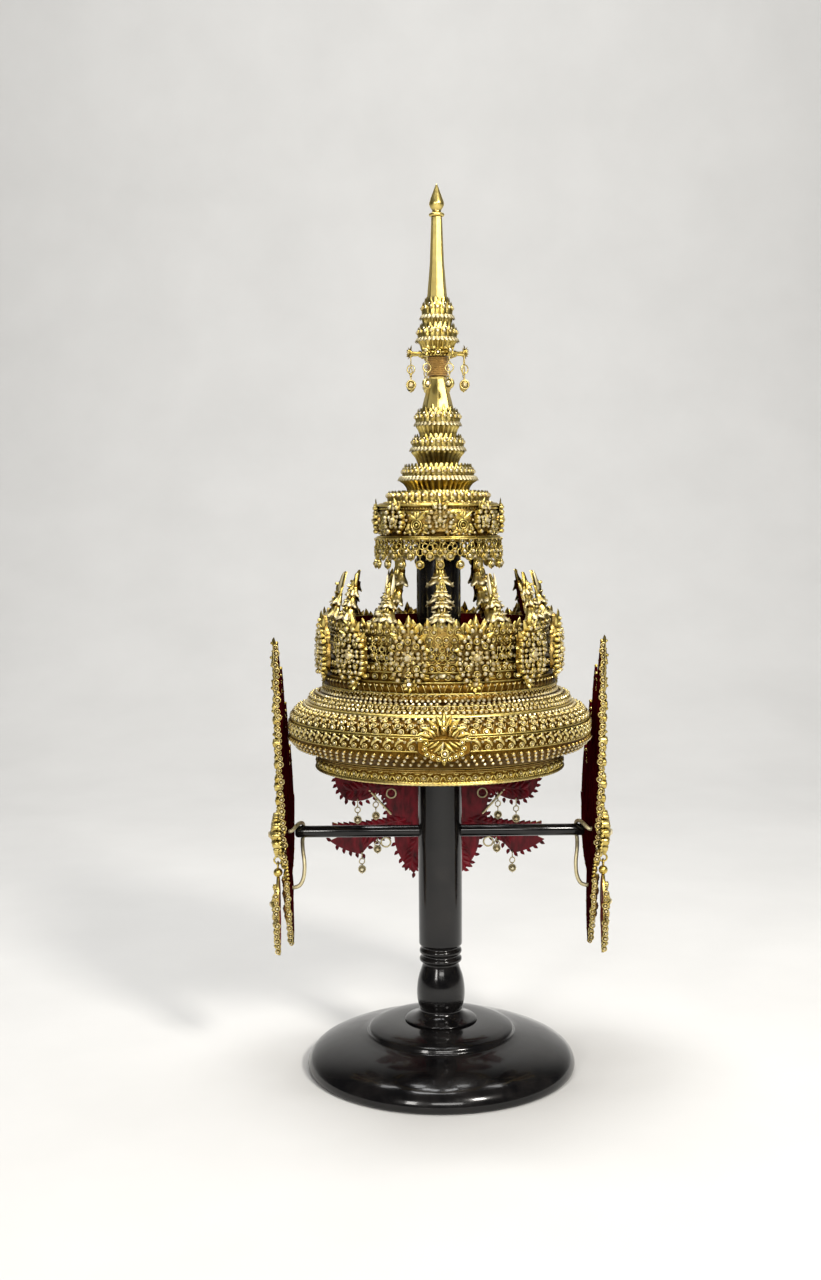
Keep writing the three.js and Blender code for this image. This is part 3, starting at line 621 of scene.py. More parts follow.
POST_PROFILE = [
    (0.1, 34.3), (25.6, 34.3), (25.8, 35), (21, 36.4), (17.4, 38.2), (15, 40.4), (14.8, 42.6),
    (16.4, 46), (17.2, 51), (17.2, 57), (16, 65), (13.4, 72.4), (12.7, 75), (13, 76), (14.8, 76.6),
    (15.2, 78), (14.8, 79.4), (13.2, 80.2), (13.2, 81.6), (14.8, 82.4), (15.2, 83.8), (14.8, 85.4),
    (13.5, 86.4), (13.6, 87.4), (15.2, 88.6), (15.5, 90.4), (15.5, 240), (15.5, 384), (14.6, 389),
    (11, 395.5), (5, 398.6), (0.1, 399.3),
]
add_piece("lacquered_post", turned(softened(POST_PROFILE), 80, BLACK, capped=True), replaces=["stand_post"])

BAR_HEIGHT = 170.5
BAR_PROFILE = [
    (0.1, -103), (2.6, -102.9), (3.7, -102.2), (4.2, -101), (4.2, -30), (4.2, 30), (4.2, 101), (3.7, 102.2),
    (2.6, 102.9), (0.1, 103),
]
bar = turned(BAR_PROFILE, 40, BLACK, capped=True).placed(place(0, 0, BAR_HEIGHT) @ about("Y", math.pi / 2))
add_piece("lacquered_bar", bar, replaces=["stand_bar"])

# Crown rings: smooth turned shells, gilt outside, with bands of dark ground painted as shade between the
# settings, and red inside darkened as painted shade

RING_STEPS = 240


def shell(outer, inner, bands):
    """A hollow ring between two profiles; bands give a material to stretches of its outside by height."""
    outside = turned(outer, RING_STEPS, GOLD)
    middles = 0.5 * (np.asarray(outer)[:-1, 1] + np.asarray(outer)[1:, 1])
    for low, high, material in bands:
        chosen = (middles > low) & (middles < high)
        outside.materials = np.where(np.tile(chosen, RING_STEPS), material, outside.materials)
    rim = turned([outer[-1], inner[-1]], RING_STEPS, GOLD)
    inside = turned(inner[::-1], RING_STEPS, SHADED_RED)
    foot = turned([inner[0], outer[0]], RING_STEPS, GOLD)
    return joined(outside, rim, inside, foot)


BAND_OUTER = [
    (86, 217.7), (87.2, 218.6), (87.2, 219.6), (86.5, 220.4), (87, 226), (87.6, 226.8), (88.2, 227.4),
    (88.2, 229),
]
BAND_INNER = [(83.8, 217.7), (84.4, 229)]
BRIM_PROFILE = [
    (88.2, 229.3), (92.6, 230.4), (97.5, 233), (102.4, 236), (105.2, 239.5), (106, 244.5), (105.2, 252),
    (101.8, 259), (97, 261.7), (91.8, 262.4),
]
BRIM_OUTER = softened(BRIM_PROFILE)
BRIM_INNER = [(84.4, 229.3), (92, 232.6), (103, 239.4), (103.8, 246), (99.6, 257.6), (89.6, 260.4)]
RIM_OUTER = [
    (92.4, 262.7), (93.2, 263), (93.7, 264), (93.2, 265), (91.7, 265.5), (91.3, 267.6), (89.8, 269.3),
    (88.2, 270.2), (82, 271),
]
RIM_INNER = [(89.6, 262.7), (88.8, 266.8), (79, 269)]
WALL_OUTER = [
    (81.6, 271.3), (82.2, 272.4), (82.2, 275.6), (80.8, 277), (80.8, 277.8), (81.8, 279), (81.8, 282),
    (80.6, 284), (77.8, 285.6), (77.6, 286.4), (77.6, 289.8), (78, 290.8), (80, 292), (80.2, 293.8),
    (80, 295.6), (77, 296.8), (76.8, 297.6), (76.4, 321),
]
WALL_INNER = [(79, 271.3), (78, 282.6), (75, 285.4), (74, 321)]
RINGS = [
    ("foot_band", BAND_OUTER, BAND_INNER, [(220, 229.2, GROUND)]),
    ("brim", BRIM_OUTER, BRIM_INNER, [(229, 262.2, GROUND)]),
    ("upper_rim", RIM_OUTER, RIM_INNER, [(265.4, 270.8, GROUND)]),
    ("crown_wall", WALL_OUTER, WALL_INNER, [(271.4, 297, GROUND), (297, 321, SHADED_GILT)]),
]
for node, outer, inner, bands in RINGS:
    add_piece(f"gilt_{node}", shell(outer, inner, bands), replaces=[node])

PANELS = 12
PANEL_STEP = 360.0 / PANELS

# Wires and rows of settings on the rings


def blades(rows, height, curl, blunt=0.0):
    """Leaves from a table: the root's X, Y and Z, heading, length, width and bend of each."""
    return joined(
        *[
            leaf(length, width, height, bend=bend, curl=curl, blunt=blunt).at(x, y, z, spin)
            for x, y, z, spin, length, width, bend in rows
        ]
    )


def both_sides(*rows):
    """A table of leaves with each row's mirror image added; a leaf on the middle line has none."""
    return [*rows, *[(-x, y, z, -spin, *size, -bend) for x, y, z, spin, *size, bend in rows if x]]


# The settings that lean are drawn for the object's right half, and their mirror images go round the left one.


def wave():
    """A small collar under a leaf that breaks over it like a wave."""
    return joined(
        collar(1.9).at(0.2, -2.3),
        leaf(8.4, 2.1, 1.1, bend=-130, rows=7).at(2.9, -1.6, 0.2, 10),
        leaf(4.4, 1.6, 0.9, bend=120).at(1.6, 0.6, 0.3, 66),
        set_stone(0.95, 0.3).placed(places((0.6, 2.9), (-3.2, 1.2))),
        grain(0.6).placed(places((-3.7, -3.5), (-3.6, 3.6), (2.9, -4.2))),
    )


def slanted_stones():
    """Three small stones in a slanted leaf."""
    return joined(
        leaf(12.6, 3.4, 0.9, bend=-14).at(3.1, -6.2, -0.2, 24),
        set_stone(1.55, 0.8).placed(places((-2.5, 4.6), (0.1, 0.2), (2.6, -4.2))),
        grain(0.5).placed(places((2.4, 4.6), (4.4, 1.4), (-2.4, -3.8))),
    )


def leaned_leaf():
    """A narrow leaf that fills the space between two leaning lines of collars."""
    return joined(
        leaf(9, 1.9, 0.9, bend=22, rows=6, material=SHADED_GILT).at(-2.7, -4.4, -0.4, -18),
        set_stone(0.85, 0.4).placed(places((-2.6, -2.2), (1.4, 1.2), (-0.4, 3.6), (2.2, -3.4))),
    )


def stroke():
    """A slanted leaf with a small stone beside its tip."""
    return joined(
        leaf(7.2, 2.4, 1.1, bend=24).at(-1.5, -3.4, 0, -12),
        set_stone(0.9, 0.4).at(-1.7, 1.8),
        grain(0.5).at(1.9, -2.4),
    )


def rim_setting():
    """A collar and, beside it, a stone between two short bars."""
    bars = [(2.9, 1.6, 0, -90, 3.6, 1.5, 0), (2.9, -1.6, 0, -90, 3.6, 1.5, 0)]
    return joined(collar(2.4), blades(bars, 0.8, 0.2), set_stone(1.15, 0.5).at(4.8, 0))


def foot_setting():
    """A collar between small curled leaves."""
    curls = both_sides((2.3, -2.6, 0, -12, 4.4, 1.8, 70), (2.6, 2.4, 0, -110, 3.6, 1.6, -70))
    return joined(
        collar(2.1).at(0, -0.5),
        blades(curls, 0.9, 0.2),
        grain(0.5).placed(places((4.25, -2.4), (4.25, 1.6), (0, 2.7))),
    )


# The plain wires: radius, height, half thickness and material; the darker gilt on the three low wires is
# painted shade under the brim.
CROWN_WIRES = [
    (87.4, 226.8, 0.5, SHADED_GILT), (88.6, 228.4, 0.5, SHADED_GILT), (91, 230.1, 0.5, SHADED_GILT), (106, 243.4, 0.5, GOLD),
    (105, 253.6, 0.6, GOLD), (105.4, 252.2, 0.45, GOLD), (88.9, 270, 0.55, GOLD), (81.7, 277.4, 0.7, GOLD),
    (79.6, 284.6, 0.7, GOLD), (79.3, 291.4, 0.6, GOLD), (78, 296.6, 0.6, GOLD),
]
polished_wire = ring_wire(93.1, 263.6, 1.5, BRIGHT, sides=10)
plain_wires = [ring_wire(*row) for row in CROWN_WIRES]
add_piece("crown_wires", rope(87, 218.7, 1.1, 180, LIGHT), polished_wire, *plain_wires)

SETTINGS = {
    "collar": collar(2.3),
    "wave": wave(),
    "slanted": slanted_stones(),
    "leaf": leaned_leaf(),
    "stroke": stroke(),
    "foot": foot_setting(),
    "rim": rim_setting(),
    "small": set_stone(1.6, 0.3),
    "grain": grain(0.72),
}

# The settings are darker and browner between the first two heights, as painted shade on the lower face of the
# brim, and paler from there up to the third one, as a painted highlight on the top-lit rows.
SHADE_FROM, LIT_FROM, LIT_TO = 230, 243, 276
# Each row: its piece, what is set along it, how many, radius and height of its ground, tilt, size, phase.
ROWS = [
    ("foot_band_stones", "foot", 64, 86.6, 223.5, 0, 1.0, 0.0),
    ("foot_band_grains", "grain", 270, 86.8, 220.4, 0, 0.85, 0.0),
    ("foot_band_top_grains", "grain", 270, 87, 226.4, 0, 0.7, 0.0),
    ("brim_slanted_stones", "slanted", 116, 102.8, 237.4, -42, 0.86, 0.0),
    ("brim_waves", "wave", 82, 105.7, 248, 2, 1.05, 0.0),
    ("brim_low_collars", "collar", 76, 104.2, 255.2, 22, 0.98, -0.3),
    ("brim_middle_collars", "collar", 76, 101.9, 258.8, 42, 0.98, 0.0),
    ("brim_high_collars", "collar", 76, 97.8, 261.3, 66, 0.98, 0.3),
    ("brim_leaves", "leaf", 76, 102.1, 258.4, 40, 1.0, 0.5),
    ("brim_top_stones", "small", 150, 94.9, 262.2, 70, 0.85, 0.0),
    ("rim_low_stones", "small", 150, 91.4, 266.3, 10, 0.9, 0.0),
    ("rim_collars", "rim", 60, 90.4, 269, 36, 0.98, -0.25),
    ("rim_stones", "small", 140, 86, 270.7, 70, 0.9, 0.5),
    ("wall_foot_stones", "small", 140, 82.1, 272.8, 10, 0.85, 0.0),
    ("wall_waves", "wave", 96, 81.9, 275.6, 0, 0.6, 0.25),
    ("wall_strokes", "stroke", 104, 81.2, 281, -4, 0.82, 0.0),
    ("wall_recess_collars", "collar", 68, 77.8, 288, 0, 1.05, 0.0),
    ("wall_moulding_collars", "collar", 110, 80.1, 293.8, 0, 0.8, 0.0),
    ("wall_low_stones", "small", 124, 76.7, 300.4, 0, 1.0, 0.0),
    ("wall_high_stones", "small", 124, 76.6, 306.2, 0, 1.0, 0.5),
    ("wall_middle_grains", "grain", 160, 76.6, 309.2, 0, 1.2, 0.0),
    ("wall_upper_collars", "collar", 90, 76.3, 312.4, 0, 1.06, 0.0),
    ("wall_top_collars", "collar", 90, 76.2, 317.5, 0, 1.06, 0.5),
]
for name, setting, count, radius, height, tilt, size, phase in ROWS:
    step = 360.0 / count
    spots = [on_ring((i + 0.5 + phase) * step, radius, height, tilt, 0, size) for i in range(count // 2)]
    tone = SHADED_GILT if SHADE_FROM < height < LIT_FROM else LIGHT if LIT_FROM < height < LIT_TO else GOLD
    half = SETTINGS[setting].gilded(tone).placed(spots)
    add_piece(name, half, half.mirrored())

add_piece(
    "wall_cresting",
    leaf(7.4, 5.4, 1.3, curl=0.8).placed(around(50, 75.8, 318.6)),
    leaf(5.4, 4.4, 1.2, curl=0.8).placed(around(50, 76.4, 318.4, phase=0.5)),
    set_stone(1.2, 0.7).placed(around(50, 76.6, 321)),
)

# Ring-and-drop pendants that hang on the wall between the panels, in two rows: angle and height of each
WALL_DROP_RADIUS = 78.8
WALL_DROPS = [(-5, 311.5), (0, 311), (5, 311.5), (-2.5, 305.6), (2.5, 305.6)]
wall_drops = [
    on_ring(PANEL_STEP * i + angle, WALL_DROP_RADIUS, height)
    for i in range(PANELS)
    for angle, height in WALL_DROPS
]
add_piece("wall_drops", drop(12, 2.3, 1.7).placed(wall_drops))

# Front medallion

MEDALLION_RADIUS, MEDALLION_HEIGHT, MEDALLION_TILT = 106.2, 249.5, 14


def medallion():
    outline = mirrored_outline(
        3,
        [(11, 4, 10, -1), (20, 12, 21, 4), (15, 20, 21, 18), (9, 25, 14, 26), (0, 34, 3, 27)],
    )
    outline[:, 1] -= 15
    outline *= 0.86
    crest = both_sides(
        (0, 6, 3.6, 0, 12.4, 5, 0), (1.2, 6, 3.2, -6, 11.4, 4.6, 34), (3, 5, 3, -22, 11.2, 4.6, 40),
        (5.2, 3.6, 2.8, -40, 10.4, 4.4, 44), (7.6, 2.6, 2.6, -58, 9.2, 4.2, 44),
        (10, 1.2, 2.4, -78, 7.6, 3.8, 40),
    )
    inner_crest = both_sides(
        (0.8, 4.4, 4.6, 14, 7.4, 3.2, -46), (3.4, 3.6, 4.2, -16, 7, 3.2, -40),
        (6.6, 2.2, 3.8, -46, 6.6, 3, -40),
    )
    skirt = both_sides(
        (0.4, -0.4, 4.2, -142, 9, 3.2, -14), (3.4, 0, 3.8, -128, 7.6, 2.8, -10),
        (6.8, -0.2, 3.2, -116, 5.4, 2.6, 20), (0.6, -4.2, 3.6, -150, 5.2, 2.6, -20),
    )
    line = smooth_path([(-13.6, 0.6, 3.2), (-7, 1.2, 4), (0, 1.5, 4.4), (7, 1.6, 4), (13.6, 1.4, 3.2)], 6)
    small = places(
        (-11.4, -0.8, 3), (11.6, -0.6, 3), (-12.4, -4.4, 2.8), (12.6, -4.2, 2.8), (-10.8, -7.8, 2.6),
        (11, -7.6, 2.6), (-7.4, -9.4, 2.6), (7.6, -9.2, 2.6), (-3.6, -10.8, 2.6), (3.8, -10.6, 2.6),
        (0, -11.6, 2.4), (0, 12.6, 4), (6.4, 9.6, 3.6), (-6.4, 9.6, 3.6), (11.8, 5.4, 3), (-11.8, 5.4, 3),
        (14.8, 1.8, 2.6), (-14.8, 1.8, 2.6), (0, 8.4, 4.6),
    )
    beads = places(*[(x, -7.4 + 0.03 * x * x, 3.2) for x in (-8, -6, -4, 4, 6, 8)])
    return joined(
        # The plate's ground is painted shade, dark under the leaves and settings; the inner crest and the
        # line under it are the darker gilt of painted shade.
        plate(outline, 2.4, front=GROUND),
        blades(crest, 2.2, 1.0, 0.3),
        blades(inner_crest, 1.7, 0.8).gilded(SHADED_GILT),
        tube(line, 0.4, 6, SHADED_GILT, normal=(0, 1, 0)),
        blades(skirt, 1.7, 0.5, 0.1),
        leaf(4.6, 3, 1.2, curl=0.6).at(0, -10.6, 2.6, 180),
        leaf(5.6, 2.6, 1.4, bend=8).gilded(PALE).at(-0.6, -0.4, 4.6, 168),
        collar(2.6, rise=1.4).gilded(LIGHT).at(0.4, -7.9, 2.8),
        collar(1.75, rise=1.0).placed(small),
        grain(0.75).placed(beads),
    )


medallion_place = on_ring(0, MEDALLION_RADIUS, MEDALLION_HEIGHT, MEDALLION_TILT)
add_piece("medallion", medallion().placed(medallion_place), replaces=["front_medallion"])

# Crown panels


def stone_field(rows, radius, height, pitch):
    """Stones heaped in rows: each row gives its height up the panel and half its width."""
    spots = []
    for number, (y, half) in enumerate(rows):
        count = max(1, round(2 * half / pitch) + number % 2)
        for x in np.linspace(-half, half, count) if count > 1 else [0.0]:
            spots.append((x, y + 0.5 * math.sin(7 * x + y), height, 0, 1 + 0.12 * math.sin(3 * x + 2 * y)))
    return set_stone(radius, 0.9 * radius).placed(places(*spots))


def crown_panel():
    outline = mirrored_outline(
        6,
        [(13.4, 10, 13, 1), (11.6, 23, 13.6, 17), (9.4, 32, 14, 29), (0, 45, 3.4, 34)],
    )
    outline = 0.84 * (outline - (0, 18)) + (0, 18)
    flames = both_sides(
        (0, 33, 2.8, 0, 11.4, 5.6, 0), (2.6, 31, 2.6, -20, 9.6, 5, 26), (6, 26, 2.4, -38, 9, 4.8, 20),
        (8.6, 20, 2.2, -66, 5.8, 4.6, 40), (9, 12, 2.2, -84, 5.4, 4.6, 20),
        (8.6, 4, 2.2, -110, 5.4, 4.4, -20),
    )
    curls = both_sides(
        (1.6, 25.4, 4.2, -34, 7.4, 3, 70), (7.6, 22.6, 4, 30, 6.6, 2.8, -80),
        (6.4, 8.4, 4, -130, 6.4, 2.8, -80), (9.4, 14.6, 4, -160, 6, 2.6, 70),
    )
    field = [
        (1.6, 7), (5.2, 9.6), (8.8, 11), (12.4, 11.4), (16, 11.4), (19.6, 11.2), (23.2, 10.2), (26.8, 8),
        (30.2, 5.4), (33.4, 2.8),
    ]
    return joined(
        # The plate's ground is the darker gilt of painted shade, and its back the darker red of painted
        # shade.
        plate(outline, 4.4, front=SHADED_GILT, back=SHADED_RED, bevel=1.2),
        blades(flames, 2.6, 0.9),
        blades(curls, 1.6, 0.5).gilded(LIGHT),
        stone_field(field, 1.55, 4, 4.1),
        collar(2.3, rise=1.8).placed(paired((0, 27, 4.2), (5.6, 24, 4.2), (5.8, 9.6, 4.2), (0, 5.6, 4.2))),
        flower(5.8, 8, 0.5, tip_stones=True).gilded(LIGHT).at(0, 16.4, 5.2),
        set_stone(1.3, 0.6).at(0, 37.6, 5),
    )


PANEL_RADIUS, PANEL_FOOT = 80.5, 285
panel_form = crown_panel()
for i in range(PANELS):
    panel = panel_form.placed(on_ring(PANEL_STEP * (i + 0.5), PANEL_RADIUS, PANEL_FOOT))
    add_piece(f"panel_{i + 1}", panel, replaces=[f"crown_panel_{i + 1}"])
add_piece(
    "panel_foot_bosses",
    flower(5.2, 8, 0.42).placed(around(PANELS, 81.8, 283.4, 14, phase=0.5)),
    leaf(5, 3.4, 1, curl=0.8).placed(around(PANELS, 82, 282.4, 14, 180, phase=0.5)),
)

# Finials and ribs are built up from bells of drooping leaves.
# Each row of a bell's skirt from lip to neck: height, reach, depth of the petals, material of the band above.
# The bands are painted light and shade: pale as a highlight round the lip, dark as painted shade under it and
# at the neck.
BELL_ROWS = [
    (-1.6, 6.8, 0.1, GROUND), (-3.0, 9.0, 0.18, PALE), (-2.0, 9.3, 0.18, PALE), (-0.4, 8.2, 0.16, LIGHT),
    (1.6, 6.6, 0.14, LIGHT), (3.8, 5.4, 0.1, GOLD), (6.2, 4.6, 0.06, GROUND), (9.0, 4.2, 0.0, GROUND),
]
PETAL_STEP = 50


def bell():
    """One bell: petals that flare from a narrow neck to a lip round a boss, open at the back, the lip painted
    pale as a highlight and the neck dark as painted shade.
    """
    turn = np.linspace(-125, 125, 31)[:, None]
    petals = np.abs(np.cos(np.pi * turn / PETAL_STEP))
    height, reach, depth = (np.array([row[k] for row in BELL_ROWS])[None] for k in range(3))
    reach = reach * (1 + depth * (2 * petals - 1))
    height = height - 12 * depth * (petals - 0.4)
    angle = np.radians(turn)
    grid = np.stack([reach * np.sin(angle), height, 0.9 * reach * np.cos(angle)], -1)
    skirt = skin(grid, LIGHT, around_too=False)
    skirt.materials = np.tile([row[3] for row in BELL_ROWS[:-1]], len(turn) - 1)
    sprays = both_sides((0.8, 3.2, 5.6, -120, 6.4, 2.4, -60), (7.4, -2.4, 2.4, -96, 3.4, 2.4, -90))
    neck = both_sides((0, 4.6, 4.4, 0, 5.6, 2.4, 0), (2.0, 4.4, 3.8, -3, 5.4, 2.4, 0))
    tips = np.radians(PETAL_STEP * np.arange(-2, 3))
    tip_spots = places(*[(9.8 * math.sin(a), -3.2, 8.8 * math.cos(a)) for a in tips])
    return joined(
        skirt,
        blades(sprays, 1.2, 0.5).gilded(PALE),
        blades(neck, 1.2, 0.2),
        collar(1.9, rise=1.2).at(0, 1.6, 5.8),
        grain(1.0).gilded(PALE).placed(tip_spots),
    )


# Finials


def finial(forked):
    """A finial: two bells under a fork of two prongs, or a third bell where a rib rises behind it."""
    outline = mirrored_outline(
        3.6,
        [(6.6, 8, 7, 3), (4.4, 14, 6, 12), (6.2, 25, 7, 18), (2.6, 21, 3.6, 23), (0, 36, 2.2, 30)],
    )
    prongs = both_sides((2.1, 20.4, 1.6, -3, 14.2, 2.9, -5))
    return joined(
        # The finial's back is the darker red of painted shade.
        plate(outline * (0.5, 0.97), 2.2, back=SHADED_RED, bevel=0.8),
        bell().placed(places((0, 4.2, 0.6, 0, 0.86), (0, 13.4, 0.8, 0, 0.64))),
        blades(prongs, 2.4, 0.4).gilded(PALE) if forked else bell().at(0, 21, 0.4, 0, 0.6),
        leaf(9, 4.4, 3.2, base=0.7, blunt=0.6).at(0, 19.6, 2.2),
        flower(2.9, 7, 0.5, cup=0.4).gilded(LIGHT).at(0, 18.8, 3.4),
        set_stone(1.1, 1.6).placed(places((0, 25, 4), (0, 9.6, 3.6))),
    )


FINIAL_LEAN = 15
FINIAL_RADIUS, FINIAL_FOOT = 74.6, 321.3
# How far a finial's back stands behind the line of its foot.
FINIAL_SEAT = 1.7
finial_forms = [finial(forked).at(0, 0, -FINIAL_SEAT) for forked in (False, True)]
foot_height = FINIAL_FOOT + FINIAL_SEAT * math.sin(math.radians(FINIAL_LEAN))
for i in range(PANELS):
    foot = on_ring(PANEL_STEP * i, FINIAL_RADIUS, foot_height, FINIAL_LEAN)
    add_piece(f"finial_leaf_{i + 1}", finial_forms[i % 2].placed(foot), replaces=[f"finial_{i + 1}"])

# Ribs: bells along a bent strip

RIB_POINTS = [
    (71, 286), (70.2, 294), (64.4, 301.6), (55.4, 308.8), (46.6, 317.6), (39.2, 328.4), (33.8, 341),
    (31.4, 355), (32, 375.6),
]
RIB_LINE = smooth_path(RIB_POINTS, 8)
RIBS = 6
RIB_HALF_PLATE = 2.5
RIB_HALF_WIDTH = 2.9
RIB_BELLS = 8


def rib():
    """One rib at the front: its backing strip and its bells, in the frame of the object."""
    along = np.gradient(RIB_LINE, axis=0)
    along /= np.linalg.norm(along, axis=1, keepdims=True)
    share = np.linspace(0, 1, len(RIB_LINE))
    half = RIB_HALF_WIDTH - 0.3 * share
    corners = ((-1, -RIB_HALF_PLATE), (1, -RIB_HALF_PLATE), (1, RIB_HALF_PLATE), (-1, RIB_HALF_PLATE))
    sides = [
        np.stack([u * half, -(RIB_LINE[:, 0] + v * along[:, 1]), RIB_LINE[:, 1] - v * along[:, 0]], 1)
        for u, v in corners
    ]
    grid = np.stack(sides)
    strip = skin(grid, GOLD, smooth=False)
    # The strip's back faces are the darker red of painted shade.
    strip.materials[: len(RIB_LINE) - 1] = SHADED_RED
    parts = [strip, end_caps(grid, GOLD, False)]
    form = bell()
    for share_here in np.linspace(0.08, 0.95, RIB_BELLS):
        spot = share_here * (len(RIB_LINE) - 1)
        low = int(spot)
        point = RIB_LINE[low] + (spot - low) * (RIB_LINE[low + 1] - RIB_LINE[low])
        lean = math.degrees(math.atan2(-along[low, 0], along[low, 1]))
        parts.append(form.placed(on_ring(0, point[0], point[1], lean, 0, 1.0 - 0.12 * share_here)))
    return joined(*parts)


rib_form = rib()
for i in range(RIBS):
    turned_rib = rib_form.placed(about("Z", 2 * math.pi * i / RIBS))
    add_piece(f"rib_leaves_{i + 1}", turned_rib, replaces=[f"rib_{i + 1}"])

# Drum

DRUM_STEPS = 160
DRUM_PANELS = 8
DRUM_DROPS = 20
DRUM_OUTER = [
    (30.2, 379), (30.2, 376), (42.2, 376), (42.6, 377), (42.6, 378.6), (42, 379.6), (40.8, 380.4),
    (40.8, 395.2), (41.4, 395.8), (41.4, 396.8), (40.8, 397.4), (40.8, 399.4), (41.6, 400), (42, 401),
    (41.6, 402), (41, 402.6), (0.2, 402.6),
]
DRUM_INNER = [(0.2, 399.8), (38.8, 399.8), (38.8, 379), (30.2, 379)]


def drum_panel():
    outline = mirrored_outline(5, [(13, 7, 12, 0), (9.6, 17, 14.4, 14), (0, 24, 4, 18)])
    outline = (outline - (0, 10)) * (0.6, 0.8) + (0, 10)
    flames = both_sides(
        (0, 17, 2.4, 0, 8.4, 4.4, 0), (1.8, 16, 2.2, -24, 7.4, 4, 14), (4.4, 13, 2.2, -52, 6.4, 3.8, 24),
        (5.2, 6, 2.2, -96, 5, 3.6, -16),
    )
    field = [(2, 4.6), (5.4, 6.8), (8.8, 7.4), (12.2, 7.4), (15.4, 5.8), (18.4, 3.2)]
    return joined(
        plate(outline, 3, front=SHADED_GILT),
        blades(flames, 1.5, 0.9),
        stone_field(field, 1.5, 2.8, 3.9),
        flower(4.8, 8, 0.46, tip_stones=True).at(0, 10, 3.6),
        set_stone(1.3, 0.9).at(0, 20.4, 3),
    )


RELIEF_STONES = [(5.4, 14), (7.4, 10.6), (8.8, 7.6), (8.6, 2), (4.6, 1), (3, 16), (8.8, 14.4), (2.6, 4)]


def drum_relief():
    """The relief between two flower panels: leaves that spread over a ringed boss."""
    spread = both_sides(
        (0.5, 11.6, 0.2, -62, 8.4, 4.6, -30), (0.4, 12.6, 0.3, -24, 4.4, 3.2, -50),
        (4.6, 8, 0.1, -118, 5, 3, 60), (3.6, 2.6, 0.1, -84, 5, 2.8, 60),
        (1, 2, 0.1, -40, 4.2, 2.6, 40),
    )
    return joined(
        blades(spread, 1.3, 0.3),
        link(3.7, 0.55, 16).at(0, 7.4, 0.5),
        link(2.3, 0.5, 14).at(0, 7.4, 0.7),
        grain(1.2).at(0, 7.4, 0.5),
        collar(1.7).placed(paired((0, 14.2), (6.8, 4.8), (0, 1.4))),
        set_stone(1.0, 0.3).placed(paired(*RELIEF_STONES)),
    )


add_piece(
    "drum_shell",
    # The shell is the darker gilt and its inside the darker red, both painted shade.
    turned(DRUM_OUTER, DRUM_STEPS, SHADED_GILT),
    turned(DRUM_INNER, DRUM_STEPS, SHADED_RED),
    ring_wire(42.6, 379.2, 0.7, steps=DRUM_STEPS),
    ring_wire(42.2, 401, 0.9, steps=DRUM_STEPS),
    ring_wire(41.4, 396.3, 0.6, steps=DRUM_STEPS),
    grain(0.7).placed(around(120, 41.2, 398.6)),
    drum_panel().placed(around(DRUM_PANELS, 40.2, 380.6)),
    drum_relief().placed(around(DRUM_PANELS, 40.8, 380, phase=0.5)),
    collar(2.0).placed(around(44, 36.6, 402.6, 90)),
    replaces=["drum"],
)

add_piece(
    "drum_curtain",
    ring_wire(43.6, 378.2, 0.7, steps=DRUM_STEPS),
    drop(20.5, 3.0, 2.4).placed(around(DRUM_DROPS, 43.9, 378.2)),
    replaces=["drum_pendants"],
)
add_piece(
    "drum_fringe",
    drop(14.5, 2.9, 2.2).placed(around(DRUM_DROPS, 43.4, 378, phase=0.5)),
    drop(11, 2.6, 1.9).placed(around(2 * DRUM_DROPS, 42.8, 378, phase=0.5)),
    collar(2.4).placed(around(2 * DRUM_DROPS, 42.4, 377.2, phase=0.25)),
)

# Spire tiers


def upright_row(count, radius, height, length, width, tilt, phase=0.0):
    """A row of upright leaves round a tier, each carrying a stone."""
    one = joined(
        leaf(length, width, 0.26 * width, curl=0.06 * length, base=0.9, blunt=0.85),
        set_stone(0.34 * width, 0.2 * width).at(0, 0.56 * length),
    )
    return one.placed(around(count, radius, height, tilt, phase=phase))


def lotus_tier(foot, lip, seat, top, foot_r, cup_r, lip_r, leaf_r, flutes, lean):
    rise = lip - foot
    cup = [
        (0.2, foot, 0), (0.96 * foot_r, foot, 0), (foot_r, foot + 0.04 * rise, 0.5),
        (foot_r, foot + 0.16 * rise, 1), (0.84 * foot_r + 0.16 * cup_r, foot + 0.4 * rise, 1),
        (0.56 * foot_r + 0.44 * cup_r, foot + 0.62 * rise, 1),
        (0.2 * foot_r + 0.8 * cup_r, foot + 0.76 * rise, 1), (cup_r, foot + 0.84 * rise, 0.9),
        (cup_r + 0.4, foot + 0.88 * rise, 0.3), (cup_r, foot + 0.92 * rise, 0),
        (lip_r - 1.4, lip - 0.4, 0), (lip_r - 0.9, lip + 0.1, 0), (lip_r - 1.6, lip + 0.7, 0),
        (leaf_r - 0.6, lip + 1.2, 0), (leaf_r - 1.6, seat, 0), (0.2, seat, 0),
    ]
    petals = int(2 * math.pi * lip_r / 3.2)
    leaves = max(12, int(2 * math.pi * leaf_r / 3.9))
    tall = top - lip
    lip_petal = leaf(4.2, 3.3, 1.1, curl=-0.8, base=0.9, blunt=0.8, material=PALE)
    return joined(
        turned(cup, flutes * 6, GOLD, flutes, 0.1),
        ring_wire(lip_r - 1.0, lip - 0.1, 0.5, steps=72),
        lip_petal.placed(around(petals, lip_r - 2.4, lip + 0.8, 58, 180)),
        grain(0.9).placed(around(flutes, cup_r + 0.3, foot + 0.88 * rise)),
        upright_row(leaves, leaf_r + 0.5, lip + 0.6, 0.72 * tall, 4.1, lean),
        upright_row(leaves, leaf_r - 0.8, lip + 1.4, 0.92 * tall, 4.1, lean + 3, 0.5),
        leaf(0.36 * rise, 2.6, 0.7, base=0.8).placed(around(flutes, foot_r + 0.1, foot, -4)),
    )


